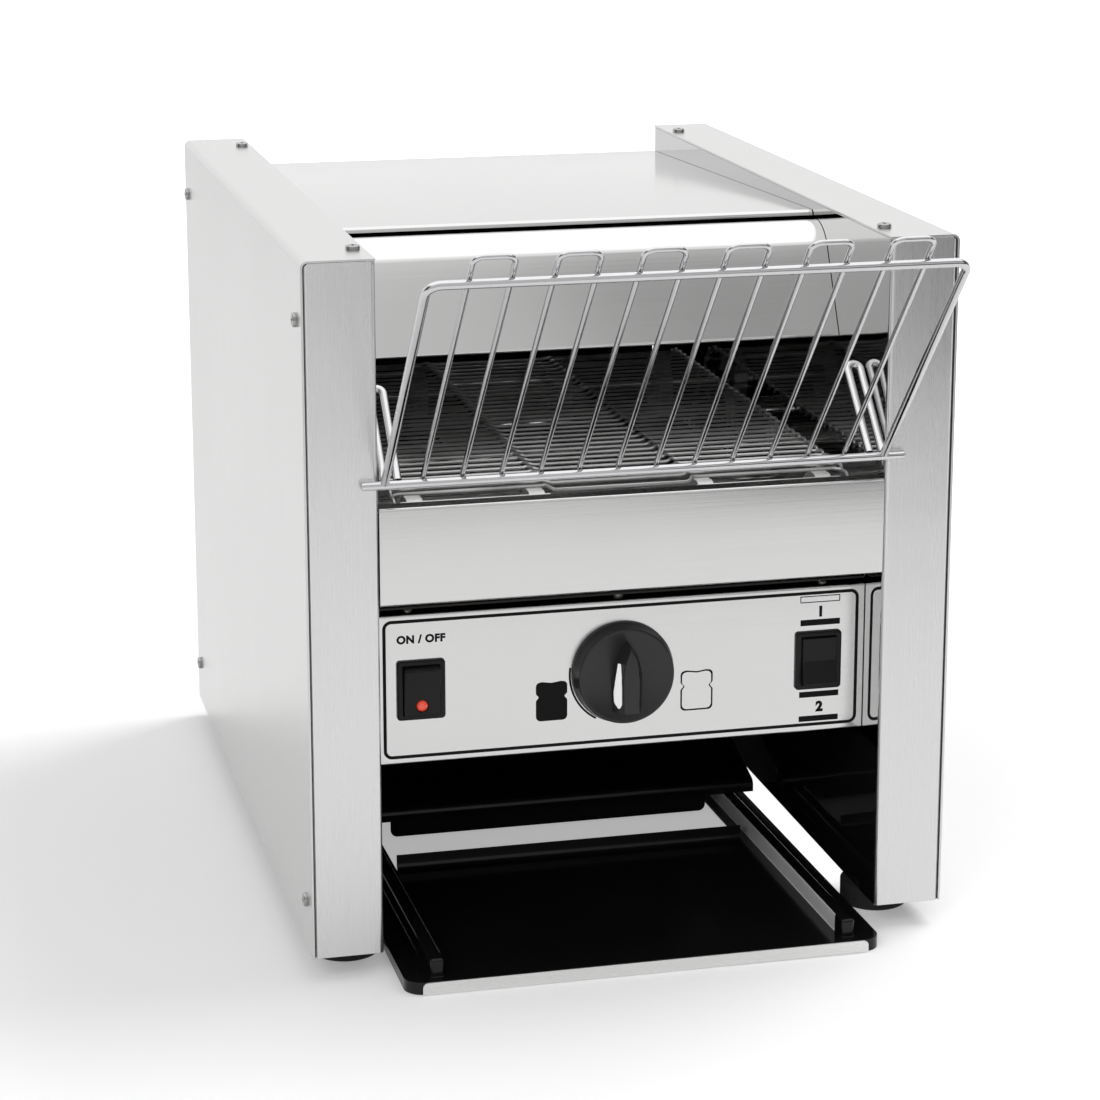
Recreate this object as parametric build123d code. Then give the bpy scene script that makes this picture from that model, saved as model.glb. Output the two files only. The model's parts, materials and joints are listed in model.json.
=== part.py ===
"""Conveyor toaster: a wire belt carries bread under quartz tubes and drops it on a chute to a tray.

Millimetres. X runs across, Y to the rear and Z up. The front flanges stand at y = 0 and the feet
stand at z = 0 while modelling; export moves Y so that the origin is under the middle of the whole.
"""

from build123d import *
import math
import os

# Case
case_width = 340.0
case_depth = 444.5
panel_height = 361.5
column_width = 37.1
sheet = 1.2
fold_radius = 1.8
tight_fold = 1.0
cover_fold_radius = 3.2
seam = 0.1
lap = 1.0
wall_gap = 0.3
press_gap = 0.02
flange_return = 24.0
foot_height = 12.5
foot_radius = 18.3
foot_inset_side = 23.5
foot_inset_front = 39.0
foot_inset_rear = 38.0
foot_round = 2.0
foot_recess = 3.0
foot_recess_gap = 0.3

# Screws
head_radius = 3.7
head_height = 2.3
head_round = 1.0
recess_reach = 2.0
recess_half_width = 0.5
recess_floor = 1.0
shank_radius = 1.9
shank_length = 7.0
hole_clearance = 0.15
top_screw_inset = 31.0
top_screw_front = 28.0
top_screw_rear = 35.5
side_screw_inset_y = 15.0
side_screw_low = 27.0
side_screw_high = 31.5
rear_screw_rise = 5.7

# Front fascia and control plate
fascia_low = 197.0
fascia_high = 247.5
fascia_return = 11.0
fascia_ear_inset = 6.0
plate_setback = 26.5
plate_low = 103.9
plate_high = 184.5
plate_top_return = 36.0
plate_low_return = 12.0
plate_screw_setback = 10.5
plate_screw_inset = 20.6
rail_setback = 3.5
rail_height = 16.0

# Hood and top cover
hood_low_y = 76.2
hood_low_z = 307.2
hood_lean = 27.0
hood_top_z = 364.4
hood_rear_y = 116.0
hood_radius = 20.0
hem_depth = 7.0
hood_lip = 7.0
cover_front_y = 124.0
cover_front_z = 368.6
cover_rear_z = 357.6
cover_hem = 3.2
cover_rear_lap = 14.0
cover_bend = 1.9

# Belt and shafts
belt_pitch = 10.0
drop_room = 95.0
sprocket_teeth = 12
wire_radius = 1.0
link_radius = 0.95
link_inset = 4.0
belt_side_gap = 11.1
lane_inset = 7.0
front_shaft_y = 35.0
shaft_z = 226.5
shaft_radius = 6.0
running_gap = 0.05
rim_gap = 0.3
seat_gap = 1.0
hub_width = 8.5
hub_inset = 12.5
hub_spacing = 64.0
bush_radius = 9.0
bush_flange_radius = 12.0
bush_flange = 2.0
bush_length = 10.0
shaft_overhang = 3.0

# Drive
chain_pitch = 6.35
drive_teeth = 18
motor_teeth = 12
chain_half_height = 2.6
chain_width = 4.0
chain_offset = 19.9
motor_y = 230.0
motor_z = 150.0
motor_radius = 22.0
motor_length = 45.0
gearbox_size = 54.0
gearbox_depth = 30.0
gearbox_corner = 5.0
gearbox_wall = 6.0
motor_round = 3.0
motor_hole_gap = 2.0
motor_shaft_radius = 4.0
motor_screw_spacing = 40.0
chain_sprocket_width = 3.6
tooth_relief = 0.6
boss_length = 3.0
boss_wall = 2.5

# Heating
tube_radius = 5.0
tube_overhang = 15.9
tube_seat_gap = 0.1
ceramic_radius = 9.0
ceramic_neck_radius = 7.0
ceramic_length = 12.0
ceramic_reach = 2.0
upper_tube_z = 318.0
upper_tube_ys = (150.0, 215.0, 280.0)
lower_tube_ys = (110.0, 190.0, 270.0)
reflector_z = 338.0
reflector_front_y = 112.0
reflector_rear_gap = 44.5
reflector_lip = 24.0
reflector_bend = 6.0
shield_z = 188.0
shield_front_y = 24.0
shield_overhang = 7.0
shield_flange = 12.0

# Electrics
electrics_rear_gap = 109.5
electrics_rise = 78.0
electrics_side = 16.0
electrics_side_start = 10.0
board_side_gap = 22.6
board_width = 80.0
board_depth = 90.0
board_thickness = 1.6
board_block_gap = 30.0
pillar_height = 8.0
pillar_radius = 3.0
pillar_inset = 5.0
relay_size = 20.0
relay_height = 16.4
relay_place = (25.0, 30.0)
capacitor_radius = 8.0
capacitor_height = 20.4
capacitor_place = (60.0, 50.0)
block_rear_gap = 65.0
block_depth = 20.0
block_height = 12.0
terminal_count = 5
terminal_pitch = 10.0
terminal_radius = 3.6
terminal_bore = 2.0
terminal_rise = 3.0

# Chute and deflector
chute_side_gap = 9.0
chute_front_y = 185.0
chute_lip_top = 19.9
chute_lip_low = 12.9
chute_slope = 15.0
chute_rear_gap = 44.5
chute_bend = 4.0
apron_side_gap = 6.2
apron_low = 3.7
apron_radius = 4.0
chute_ear_y = 275.0
chute_ear_length = 24.0
chute_ear_rise = 18.0
deflector_gap = 6.5
deflector_top = 205.0
deflector_lap = 8.0
deflector_bend = 34.0
rear_panel_low = 24.0

# Toast tray
tray_front_y = -31.0
tray_lip = 6.5
tray_lip_inset = 8.0
tray_lip_corner = 2.8
tray_foot_gap = 1.2
tray_corner = 10.0
tray_rail_inset = 20.8
tray_rail_width = 7.4
tray_rail_height = 9.6
tray_rail_start = 6.0
tray_floor_length = 165.0
tray_arm_length = 258.0
tray_arm_width = 6.0
tray_rear_lip = 8.5
tray_rear_bend = 4.5
tray_floor_gap = 0.3

# Feed rack
rack_rod_radius = 2.25
rack_wire_radius = 1.4
rack_rod_z = 260.5
rack_rod_overhang = 9.1
rod_end_round = 1.0
rack_top_y = -113.0
rack_top_z = 380.5
rack_bend = 7.0
rack_bars = 14
rack_loop = 15.0
rack_loop_bend = 5.0
rack_leg_rise = 40.0
rack_leg_spread = 7.0

# Controls
switch_inset = 25.4
switch_z = 144.0
bezel_width = 25.4
bezel_height = 31.8
bezel_depth = 2.2
bezel_corner = 2.0
bezel_chamfer = 0.8
well_width = 19.4
well_height = 26.4
well_floor_gap = 1.0
switch_body_width = 21.8
switch_body_height = 29.6
switch_body_depth = 20.0
rocker_gap = 0.25
rocker_tilt = 8.0
rocker_pivot_depth = 1.0
rocker_vertex = 2.6
rocker_tip_inset = 0.6
lamp_radius = 3.0
lamp_drop = 7.6
lamp_height = 1.2
lamp_depth = 2.0
lamp_round = 0.8
knob_z = 145.5
knob_radius = 27.3
knob_depth = 9.0
knob_gap = 0.5
knob_taper = 1.6
knob_round = 1.2
knob_bore = 13.0
grip_height = 10.0
grip_base = 16.4
grip_top = 8.2
grip_half_length = 19.0
grip_shoulder = 1.9
grip_bulge = 1.9
grip_draw = 1.2
grip_sink = 0.5
pointer_length = 21.0
pointer_width = 4.2
pointer_thickness = 0.6
pointer_round = 0.8
pointer_drop = 2.5
spindle_radius = 3.0
spindle_reach = 16.0
spindle_hole_gap = 1.0
control_half_width = 21.0
control_low = 17.0
control_high = 15.0
control_depth = 30.0

# Rear
gland_inset = 32.6
gland_z = 60.0
gland_radius = 10.0
gland_bore = 4.5
gland_length = 16.0
gland_inside = 8.0
gland_shoulder = 2.0
gland_flange = 4.0
gland_nose_step = 3.0
gland_nut = 5.0
gland_nut_step = 1.0
vent_count = 9
vent_pitch = 18.0
vent_width = 8.0
vent_length = 46.0

# Worked out from the sizes above
top_z = foot_height + panel_height
half_width = case_width / 2
inner_half = half_width - column_width
wall_outer = inner_half + sheet
cover_inner = half_width - sheet
frame_outer = cover_inner - seam
frame_top = top_z - sheet - seam
clear_half = inner_half - wall_gap
belt_half_width = clear_half - belt_side_gap
hub_outer_x = belt_half_width - hub_inset
hub_inner_x = hub_outer_x - hub_spacing
lane_x = hub_inner_x - lane_inset
belt_runs = int((case_depth - front_shaft_y - drop_room) / belt_pitch)
pitch_radius = belt_pitch / (2 * math.sin(math.pi / sprocket_teeth))
rear_shaft_y = front_shaft_y + belt_runs * belt_pitch
hub_radius = pitch_radius - wire_radius - rim_gap
motor_pitch_radius = chain_pitch / (2 * math.sin(math.pi / motor_teeth))
drive_pitch_radius = chain_pitch / (2 * math.sin(math.pi / drive_teeth))
chain_x = wall_outer + chain_offset
shaft_end = chain_x + chain_sprocket_width / 2 + shaft_overhang
tube_end_x = wall_outer + tube_overhang
reflector_rear_y = case_depth - reflector_rear_gap
shield_rear_y = rear_shaft_y + shield_overhang
electrics_rear_y = case_depth - electrics_rear_gap
electrics_floor = plate_low + 2 * sheet + 2 * seam
block_x = board_side_gap - clear_half
block_rear_y = electrics_rear_y - block_rear_gap
board_rear_y = block_rear_y - block_depth - board_block_gap
foot_x = half_width - foot_inset_side
foot_ys = (foot_inset_front, case_depth - foot_inset_rear)
tray_half_width = foot_x - foot_radius - tray_foot_gap
tray_lip_half_width = tray_half_width - tray_lip_inset
tray_rail_x = tray_half_width - tray_rail_inset
chute_half_width = clear_half - chute_side_gap
chute_rear_y = case_depth - chute_rear_gap
apron_half_width = tray_rail_x - tray_arm_width - apron_side_gap
deflector_y = case_depth - deflector_gap
screw_hole = shank_radius + hole_clearance
plate_screw_x = clear_half - plate_screw_inset
switch_x = clear_half - switch_inset
gland_x = gland_inset - clear_half
gland_neck = gland_radius - gland_shoulder
plate_back = plate_setback + sheet
rail_top = plate_high - sheet
bezel_front = plate_setback - bezel_depth
knob_back = plate_setback - knob_gap
knob_front = knob_back - knob_depth
rack_rod_y = -rack_rod_radius - wall_gap
rack_leg_x = clear_half - rack_rod_radius
rack_rod_half = inner_half + rack_rod_overhang
tray_tilt = math.asin((tray_lip - sheet) / tray_arm_length)


def box(x0, x1, y0, y1, z0, z1):
    return Pos((x0 + x1) / 2, (y0 + y1) / 2, (z0 + z1) / 2) * Box(x1 - x0, y1 - y0, z1 - z0)


def rod_x(x0, x1, y, z, radius):
    return Pos((x0 + x1) / 2, y, z) * Rot(0, 90, 0) * Cylinder(radius, x1 - x0)


def rod_y(x, y0, y1, z, radius):
    return Pos(x, (y0 + y1) / 2, z) * Rot(90, 0, 0) * Cylinder(radius, y1 - y0)


def rod_z(x, y, z0, z1, radius):
    return Pos(x, y, (z0 + z1) / 2) * Cylinder(radius, z1 - z0)


def along_x(face, x0, x1):
    """Solid whose section lies in Y and Z, from x0 to x1."""
    return extrude(Plane.YZ.offset(x0) * face, x1 - x0)


def along_y(face, y0, y1):
    """Solid whose section lies in X and Z, from y0 to y1."""
    return extrude(Plane.XZ.offset(-y1) * face, y1 - y0)


def along_z(face, z0, z1):
    return extrude(Plane.XY.offset(z0) * face, z1 - z0)


def folded(points, radius, thickness=sheet):
    """Section of a folded sheet, from the line through the middle of its thickness."""
    return trace(FilletPolyline(*points, radius=radius), line_width=thickness)


def bent_wire(points, radius, wire):
    path = FilletPolyline(*points, radius=radius)
    return sweep(Plane(path @ 0, z_dir=path % 0) * Circle(wire), path=path)


def both_sides(piece):
    return [piece, mirror(piece, about=Plane.YZ)]


def pan_screw(length=shank_length):
    """Pan head screw with a cross recess, its head above z = 0 and its shank below."""
    dome = Pos(0, 0, head_height / 2) * Cylinder(head_radius, head_height)
    dome = fillet(dome.edges().group_by(Axis.Z)[-1], head_round)
    slot = box(-recess_reach, recess_reach, -recess_half_width, recess_half_width, recess_floor, head_height + lap)
    return dome - slot - Rot(0, 0, 90) * slot + rod_z(0, 0, -length, 0, shank_radius)


def screws_at(places, turn):
    """Copies of one screw: turn points its head, places are the seats under the heads."""
    screw = pan_screw()
    return [Pos(*place) * turn * screw for place in places]


def top_screw_places():
    xs = (half_width - top_screw_inset, top_screw_inset - half_width)
    ys = (top_screw_front, case_depth - top_screw_rear)
    return [(x, y, top_z) for x in xs for y in ys]


def side_screw_places(side):
    ys = (side_screw_inset_y, case_depth - side_screw_inset_y)
    zs = (foot_height + side_screw_low, top_z - side_screw_high)
    return [(side * half_width, y, z) for y in ys for z in zs]


def plate_screw_places():
    y = plate_setback + plate_screw_setback
    return [(x, y, plate_high) for x in (-plate_screw_x, 0, plate_screw_x)]


def foot_places():
    return [(x, y, foot_height) for x in (foot_x, -foot_x) for y in foot_ys]


def rear_screw_places():
    z = cover_rear_z - cover_rear_lap + rear_screw_rise
    return [(x, case_depth, z) for x in (-plate_screw_x, 0, plate_screw_x)]


def motor_screw_places():
    half = motor_screw_spacing / 2
    return [(wall_outer, motor_y + dy, motor_z + dz) for dy in (-half, half) for dz in (-half, half)]


def side_cover():
    """Right hand outer cover: side sheet with the top flange folded inwards."""
    mid = half_width - sheet / 2
    points = [(mid, foot_height), (mid, top_z - sheet / 2), (inner_half, top_z - sheet / 2)]
    cover = along_y(folded(points, cover_fold_radius), 0, case_depth)
    for x, y, z in side_screw_places(1):
        cover -= rod_x(x - 2 * sheet, x + sheet, y, z, screw_hole)
    for x, y, z in top_screw_places()[:2]:
        cover -= rod_z(x, y, z - 2 * sheet, z + sheet, screw_hole)
    return cover


def tube_places():
    upper = [(y, upper_tube_z) for y in upper_tube_ys]
    return upper + [(y, shaft_z) for y in lower_tube_ys]


def inner_frame(side):
    """Inner wall with its front and rear flanges, returns, top tabs and foot flange."""
    wall_mid = inner_half + sheet / 2
    return_mid = frame_outer - sheet / 2
    front = sheet / 2
    rear = case_depth - sheet / 2
    points = [(return_mid, flange_return), (return_mid, front), (wall_mid, front)]
    points += [(wall_mid, rear), (return_mid, rear), (return_mid, case_depth - flange_return)]
    frame = along_z(folded(points, fold_radius), foot_height, frame_top)
    inside = (wall_outer - sheet / 2, frame_outer - sheet / 2)
    tab_reach = top_screw_front + 3 * head_radius
    rear_tab = case_depth - top_screw_rear - 3 * head_radius
    frame += box(*inside, sheet / 2, tab_reach, frame_top - sheet, frame_top)
    frame += box(*inside, rear_tab, rear, frame_top - sheet, frame_top)
    frame += box(*inside, sheet / 2, rear, foot_height, foot_height + sheet)
    corner = Polyline((frame_outer + lap, frame_top - cover_fold_radius), (frame_outer + lap, frame_top + lap),
                      (frame_outer - cover_fold_radius, frame_top + lap), close=True)
    frame -= along_y(make_face(corner), 0, case_depth)
    for x, y, z in side_screw_places(1):
        frame -= rod_x(x - shank_length - lap, x, y, z, screw_hole)
    for x, y, z in top_screw_places()[:2]:
        frame -= rod_z(x, y, z - shank_length - lap, z, screw_hole)
    for x, y, z in foot_places()[:2]:
        frame -= rod_z(x, y, z - sheet, z + 2 * sheet, screw_hole)
    for y in (front_shaft_y, rear_shaft_y):
        frame -= rod_x(inner_half - lap, wall_outer + lap, y, shaft_z, bush_radius)
    for y, z in tube_places():
        frame -= rod_x(inner_half - lap, wall_outer + lap, y, z, ceramic_neck_radius)
    if side > 0:
        hole = motor_shaft_radius + motor_hole_gap
        frame -= rod_x(inner_half - lap, wall_outer + lap, motor_y, motor_z, hole)
        for x, y, z in motor_screw_places():
            frame -= rod_x(x - 2 * sheet, x + sheet, y, z, screw_hole)
        return frame
    return mirror(frame, about=Plane.YZ)


def front_fascia():
    mid = sheet / 2
    low, high = fascia_low + mid, fascia_high - mid
    points = [(fascia_return, low), (mid, low), (mid, high), (fascia_return, high)]
    fascia = along_x(folded(points, tight_fold), -clear_half, clear_half)
    ear = box(clear_half - sheet, clear_half, sheet, fascia_return,
              fascia_low + fascia_ear_inset, fascia_high - fascia_ear_inset)
    for piece in both_sides(ear):
        fascia += piece
    return fascia


def control_panel():
    mid = plate_setback + sheet / 2
    low, high = plate_low + sheet / 2, plate_high - sheet / 2
    points = [(plate_setback + plate_low_return, low), (mid, low), (mid, high)]
    points.append((plate_setback + plate_top_return, high))
    panel = along_x(folded(points, tight_fold), -clear_half, clear_half)
    for x, y, z in plate_screw_places():
        panel -= rod_z(x, y, z - 2 * sheet, z + sheet, screw_hole)
    span_w, span_h = switch_body_width / 2 + seam, switch_body_height / 2 + seam
    for x in (-switch_x, switch_x):
        panel -= box(x - span_w, x + span_w, plate_setback - lap, plate_back + lap,
                     switch_z - span_h, switch_z + span_h)
    return panel - rod_y(0, plate_setback - lap, plate_back + lap, knob_z,
                         spindle_radius + spindle_hole_gap)


def front_rail():
    """Cross rail under the control plate's top return, tying the two inner walls."""
    y0 = plate_setback + rail_setback
    y1 = plate_setback + plate_top_return
    z = rail_top - sheet / 2
    points = [(y0, z), (y1, z), (y1, z - rail_height)]
    rail = along_x(folded(points, fold_radius), -clear_half, clear_half)
    for x, y, z in plate_screw_places():
        rail -= rod_z(x, y, z - shank_length - lap, z, screw_hole)
    return rail


def hood():
    """Curved sheet over the bread entry, its lower edge hemmed inwards."""
    lean = math.tan(math.radians(hood_lean))
    mid = sheet / 2
    corner_y = hood_low_y + (hood_top_z - hood_low_z) * lean
    points = [(hood_low_y + hem_depth, hood_low_z + mid), (hood_low_y + mid, hood_low_z + mid)]
    points += [(corner_y, hood_top_z - mid), (hood_rear_y + hood_radius, hood_top_z - mid)]
    shape = FilletPolyline(*points, radius=[tight_fold, hood_radius])
    section = trace(shape, line_width=sheet)
    section -= Pos(hood_rear_y + hood_radius, hood_top_z) * Rectangle(2 * hood_radius, 2 * hood_radius)
    section += Pos(hood_rear_y - mid, hood_top_z - hood_lip / 2) * Rectangle(sheet, hood_lip)
    return along_x(section, -clear_half, clear_half)


def top_cover():
    mid = sheet / 2
    slope = (cover_front_z - cover_rear_z) / (case_depth - cover_front_y)
    points = [(cover_front_y + mid, cover_front_z - cover_hem)]
    points.append((cover_front_y + mid, cover_front_z - mid))
    points.append((case_depth + mid + seam, cover_rear_z - mid - slope * mid))
    points.append((case_depth + mid + seam, cover_rear_z - cover_rear_lap))
    cover = along_x(folded(points, cover_bend), -clear_half, clear_half)
    for x, y, z in rear_screw_places():
        cover -= rod_y(x, y - sheet, y + 2 * sheet, z, screw_hole)
    return cover


def rear_panel():
    """Rear sheet with upright vent slots, the cable gland's hole and screw holes."""
    y0 = case_depth - sheet
    panel = box(-clear_half, clear_half, y0, case_depth, rear_panel_low, cover_rear_z - 2 * sheet)
    slot = Rot(90, 0, 0) * extrude(SlotOverall(vent_length, vent_width, rotation=90), 2 * sheet, both=True)
    start = -(vent_count - 1) / 2 * vent_pitch
    for z in ((deflector_top + cover_rear_z) / 2, (plate_low + plate_high) / 2):
        for index in range(vent_count):
            panel -= Pos(start + index * vent_pitch, case_depth, z) * slot
    for x, y, z in rear_screw_places():
        panel -= rod_y(x, y - 2 * sheet, y + sheet, z, screw_hole)
    return panel - rod_y(gland_x, y0 - lap, case_depth + lap, gland_z, gland_neck)


def upper_reflector():
    mid = sheet / 2
    points = [(reflector_front_y, reflector_z - reflector_lip), (reflector_front_y, reflector_z - mid)]
    points += [(reflector_rear_y, reflector_z - mid), (reflector_rear_y, reflector_z - reflector_lip)]
    return along_x(folded(points, reflector_bend), -clear_half, clear_half)


def heat_shield():
    mid = sheet / 2
    x = clear_half - mid
    points = [(-x, shield_z + shield_flange), (-x, shield_z + mid), (x, shield_z + mid)]
    points.append((x, shield_z + shield_flange))
    return along_y(folded(points, fold_radius), shield_front_y, shield_rear_y)


def electrics_tray():
    """Floor and rear wall of the electrics space, with side flanges on the inner walls."""
    mid = sheet / 2
    z = plate_low + sheet + mid + seam
    y0 = plate_back + fold_radius + seam
    points = [(y0, z), (electrics_rear_y, z), (electrics_rear_y, plate_low + electrics_rise)]
    tray = along_x(folded(points, fold_radius), -clear_half, clear_half)
    side = box(clear_half - sheet, clear_half, y0 + electrics_side_start, electrics_rear_y,
               z - mid, z + electrics_side)
    for piece in both_sides(side):
        tray += piece
    return tray


def chute_z(y):
    """Height of the chute's upper face."""
    return chute_lip_top + (y - chute_front_y) * math.tan(math.radians(chute_slope))


def toast_chute():
    """Sloping slide with a folded front lip, a deeper middle apron and side ears."""
    mid = sheet / 2
    drop = mid / math.cos(math.radians(chute_slope))
    front = chute_front_y + mid
    points = [(front, chute_lip_low), (front, chute_z(front) - drop)]
    points.append((chute_rear_y, chute_z(chute_rear_y) - drop))
    chute = along_x(folded(points, chute_bend), -chute_half_width, chute_half_width)
    apron_height = chute_lip_low - apron_low
    apron = Pos(0, chute_lip_low - apron_height / 2) * Rectangle(2 * apron_half_width, apron_height)
    apron = fillet(apron.vertices().group_by(Axis.Y)[0], apron_radius)
    chute += along_y(apron, chute_front_y, chute_front_y + sheet)
    for y in (chute_ear_y, chute_rear_y - 2 * chute_ear_length):
        y1 = y + chute_ear_length
        low = chute_z(y) - 2 * drop
        strip = Polyline((y, low), (y1, chute_z(y1) - 2 * drop), (y1, chute_z(y1)), (y, chute_z(y)),
                         close=True)
        ear = along_x(make_face(strip), chute_half_width - lap, clear_half)
        ear += box(clear_half - sheet, clear_half, y, y1, low, chute_z(y1) + chute_ear_rise)
        for piece in both_sides(ear):
            chute += piece
    return chute


def toast_deflector():
    """Curved sheet behind the belt's end, from the chute's upper face up to the rear panel."""
    lift = sheet / 2 + seam
    y0 = chute_rear_y - deflector_lap
    points = [(y0, chute_z(y0) + lift), (deflector_y, chute_z(deflector_y) + lift)]
    points += [(deflector_y, deflector_top), (case_depth - sheet - seam, deflector_top)]
    shape = FilletPolyline(*points, radius=[deflector_bend, fold_radius])
    return along_x(trace(shape, line_width=sheet), -clear_half, clear_half)


def foot(x, y):
    body = rod_z(x, y, 0, foot_height, foot_radius)
    body = fillet(body.edges().group_by(Axis.Z)[0], foot_round)
    body -= rod_z(x, y, -lap, foot_recess, head_radius + foot_recess_gap)
    return body - rod_z(x, y, foot_recess, foot_height + lap, screw_hole)


def foot_screws():
    """Screws up through the feet into the foot flanges."""
    screw = Rot(180, 0, 0) * pan_screw(foot_height - foot_recess + 3 * sheet)
    return [Pos(x, y, foot_recess) * screw for x, y, _ in foot_places()]


def shaft(y, right_end):
    left_end = wall_outer + bush_length + shaft_overhang
    return rod_x(-left_end, right_end, y, shaft_z, shaft_radius)


def bush(y):
    """Right hand flanged bush in the inner wall's hole."""
    neck = rod_x(inner_half, wall_outer + bush_length, y, shaft_z, bush_radius - press_gap)
    flange = rod_x(wall_outer, wall_outer + bush_flange, y, shaft_z, bush_flange_radius)
    bore = shaft_radius + running_gap
    return neck + flange - rod_x(inner_half - lap, wall_outer + bush_length + lap, y, shaft_z, bore)


def belt_sprocket(x, y):
    """Hub under the belt with shallow seats where the wires lie."""
    hub = rod_x(x - hub_width / 2, x + hub_width / 2, y, shaft_z, hub_radius)
    hub -= rod_x(x - hub_width, x + hub_width, y, shaft_z, shaft_radius + press_gap)
    for tooth in range(sprocket_teeth):
        angle = 2 * math.pi * tooth / sprocket_teeth
        seat_y = y + pitch_radius * math.cos(angle)
        seat_z = shaft_z + pitch_radius * math.sin(angle)
        hub -= rod_x(x - hub_width, x + hub_width, seat_y, seat_z, wire_radius + seat_gap)
    return hub


def sprocket_row(y):
    return [belt_sprocket(x, y) for x in (-hub_outer_x, -hub_inner_x, hub_inner_x, hub_outer_x)]


def belt_places():
    """Centre and outward angle of each strand, going once round the two shafts."""
    places = []
    for index in range(belt_runs + 1):
        y = front_shaft_y + index * belt_pitch
        places.append((y, shaft_z + pitch_radius, 90))
        places.append((y, shaft_z - pitch_radius, 270))
    step = 360 / sprocket_teeth
    for index in range(1, sprocket_teeth // 2):
        for y, start in ((front_shaft_y, 90), (rear_shaft_y, 270)):
            angle = start + index * step
            turn = math.radians(angle)
            dy, dz = pitch_radius * math.cos(turn), pitch_radius * math.sin(turn)
            places.append((y + dy, shaft_z + dz, angle))
    return places


def belt_strand():
    """One strand along X with four links that reach the next strand."""
    strand = rod_x(-belt_half_width, belt_half_width, 0, 0, wire_radius)
    reach = belt_pitch - wire_radius - rim_gap
    for x in (link_inset - belt_half_width, -lane_x, lane_x, belt_half_width - link_inset):
        strand += rod_y(x, -reach, 0, 0, link_radius)
    return strand


def conveyor_belt():
    strand = belt_strand()
    half_step = 180 / sprocket_teeth
    strands = []
    for y, z, angle in belt_places():
        on_arc = angle not in (90, 270) or (angle == 90 and y < front_shaft_y + lap)
        on_arc = on_arc or (angle == 270 and y > rear_shaft_y - lap)
        lead = half_step if on_arc else 0
        strands.append(Pos(0, y, z) * Rot(angle - 90 + lead, 0, 0) * strand)
    return strands


def chain_sprocket(y, z, radius, bore, teeth):
    """Plate sprocket with shallow seats for the chain's rollers and a boss on its inner side."""
    rim = radius - chain_half_height - rim_gap
    x0, x1 = chain_x - chain_sprocket_width / 2, chain_x + chain_sprocket_width / 2
    plate = rod_x(x0, x1, y, z, rim)
    for tooth in range(teeth):
        angle = 2 * math.pi * tooth / teeth
        seat_y, seat_z = y + radius * math.cos(angle), z + radius * math.sin(angle)
        plate -= rod_x(x0 - lap, x1 + lap, seat_y, seat_z, chain_half_height + rim_gap + tooth_relief)
    plate += rod_x(x0 - boss_length, x0, y, z, bore + boss_wall)
    return plate - rod_x(x0 - boss_length - lap, x1 + lap, y, z, bore + press_gap)


def drive_chain():
    """Closed chain round the two chain sprockets."""
    def loop(extra):
        motor = Pos(motor_y, motor_z) * Circle(motor_pitch_radius + extra)
        drive = Pos(rear_shaft_y, shaft_z) * Circle(drive_pitch_radius + extra)
        return make_hull(motor.edges() + drive.edges())
    band = loop(chain_half_height) - loop(-chain_half_height)
    return along_x(band, chain_x - chain_width / 2, chain_x + chain_width / 2)


def gearbox():
    half = gearbox_size / 2
    x1 = inner_half - press_gap
    case = box(x1 - gearbox_depth, x1, motor_y - half, motor_y + half, motor_z - half, motor_z + half)
    case = fillet(case.edges().filter_by(Axis.X), gearbox_corner)
    bore = motor_shaft_radius + running_gap
    case -= rod_x(x1 - gearbox_depth + gearbox_wall, x1 + lap, motor_y, motor_z, bore)
    for x, y, z in motor_screw_places():
        case -= rod_x(x - shank_length - lap, x, y, z, screw_hole)
    return case


def motor_can():
    x1 = inner_half - gearbox_depth - 2 * press_gap
    can = rod_x(x1 - motor_length, x1, motor_y, motor_z, motor_radius)
    return fillet(can.edges().group_by(Axis.X)[0], motor_round)


def motor_shaft():
    x0 = inner_half - gearbox_depth + gearbox_wall + lap
    return rod_x(x0, shaft_end, motor_y, motor_z, motor_shaft_radius)


def heating_tube(y, z):
    return rod_x(-tube_end_x, tube_end_x, y, z, tube_radius)


def ceramic_end(y, z):
    """Right hand ceramic bush: its neck sits in the wall and its bore holds the tube."""
    x1 = wall_outer + ceramic_length
    body = rod_x(wall_outer, x1, y, z, ceramic_radius)
    body += rod_x(inner_half - ceramic_reach, wall_outer, y, z, ceramic_neck_radius - tube_seat_gap)
    bore = tube_radius + tube_seat_gap
    return body - rod_x(inner_half - ceramic_reach - lap, x1 + lap, y, z, bore)


def switch_housing(x):
    """Rocker switch housing: bezel in front of the plate, body behind it, open well."""
    w, h = bezel_width / 2, bezel_height / 2
    bezel = box(x - w, x + w, bezel_front, plate_setback, switch_z - h, switch_z + h)
    bezel = fillet(bezel.edges().filter_by(Axis.Y), bezel_corner)
    bezel = chamfer(bezel.faces().sort_by(Axis.Y)[0].edges(), bezel_chamfer)
    w, h = switch_body_width / 2, switch_body_height / 2
    body = box(x - w, x + w, plate_setback, plate_back + switch_body_depth, switch_z - h, switch_z + h)
    w, h = well_width / 2, well_height / 2
    depth = bezel_front + rocker_pivot_depth + h + well_floor_gap
    return bezel + body - box(x - w, x + w, bezel_front - lap, depth, switch_z - h, switch_z + h)


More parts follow.
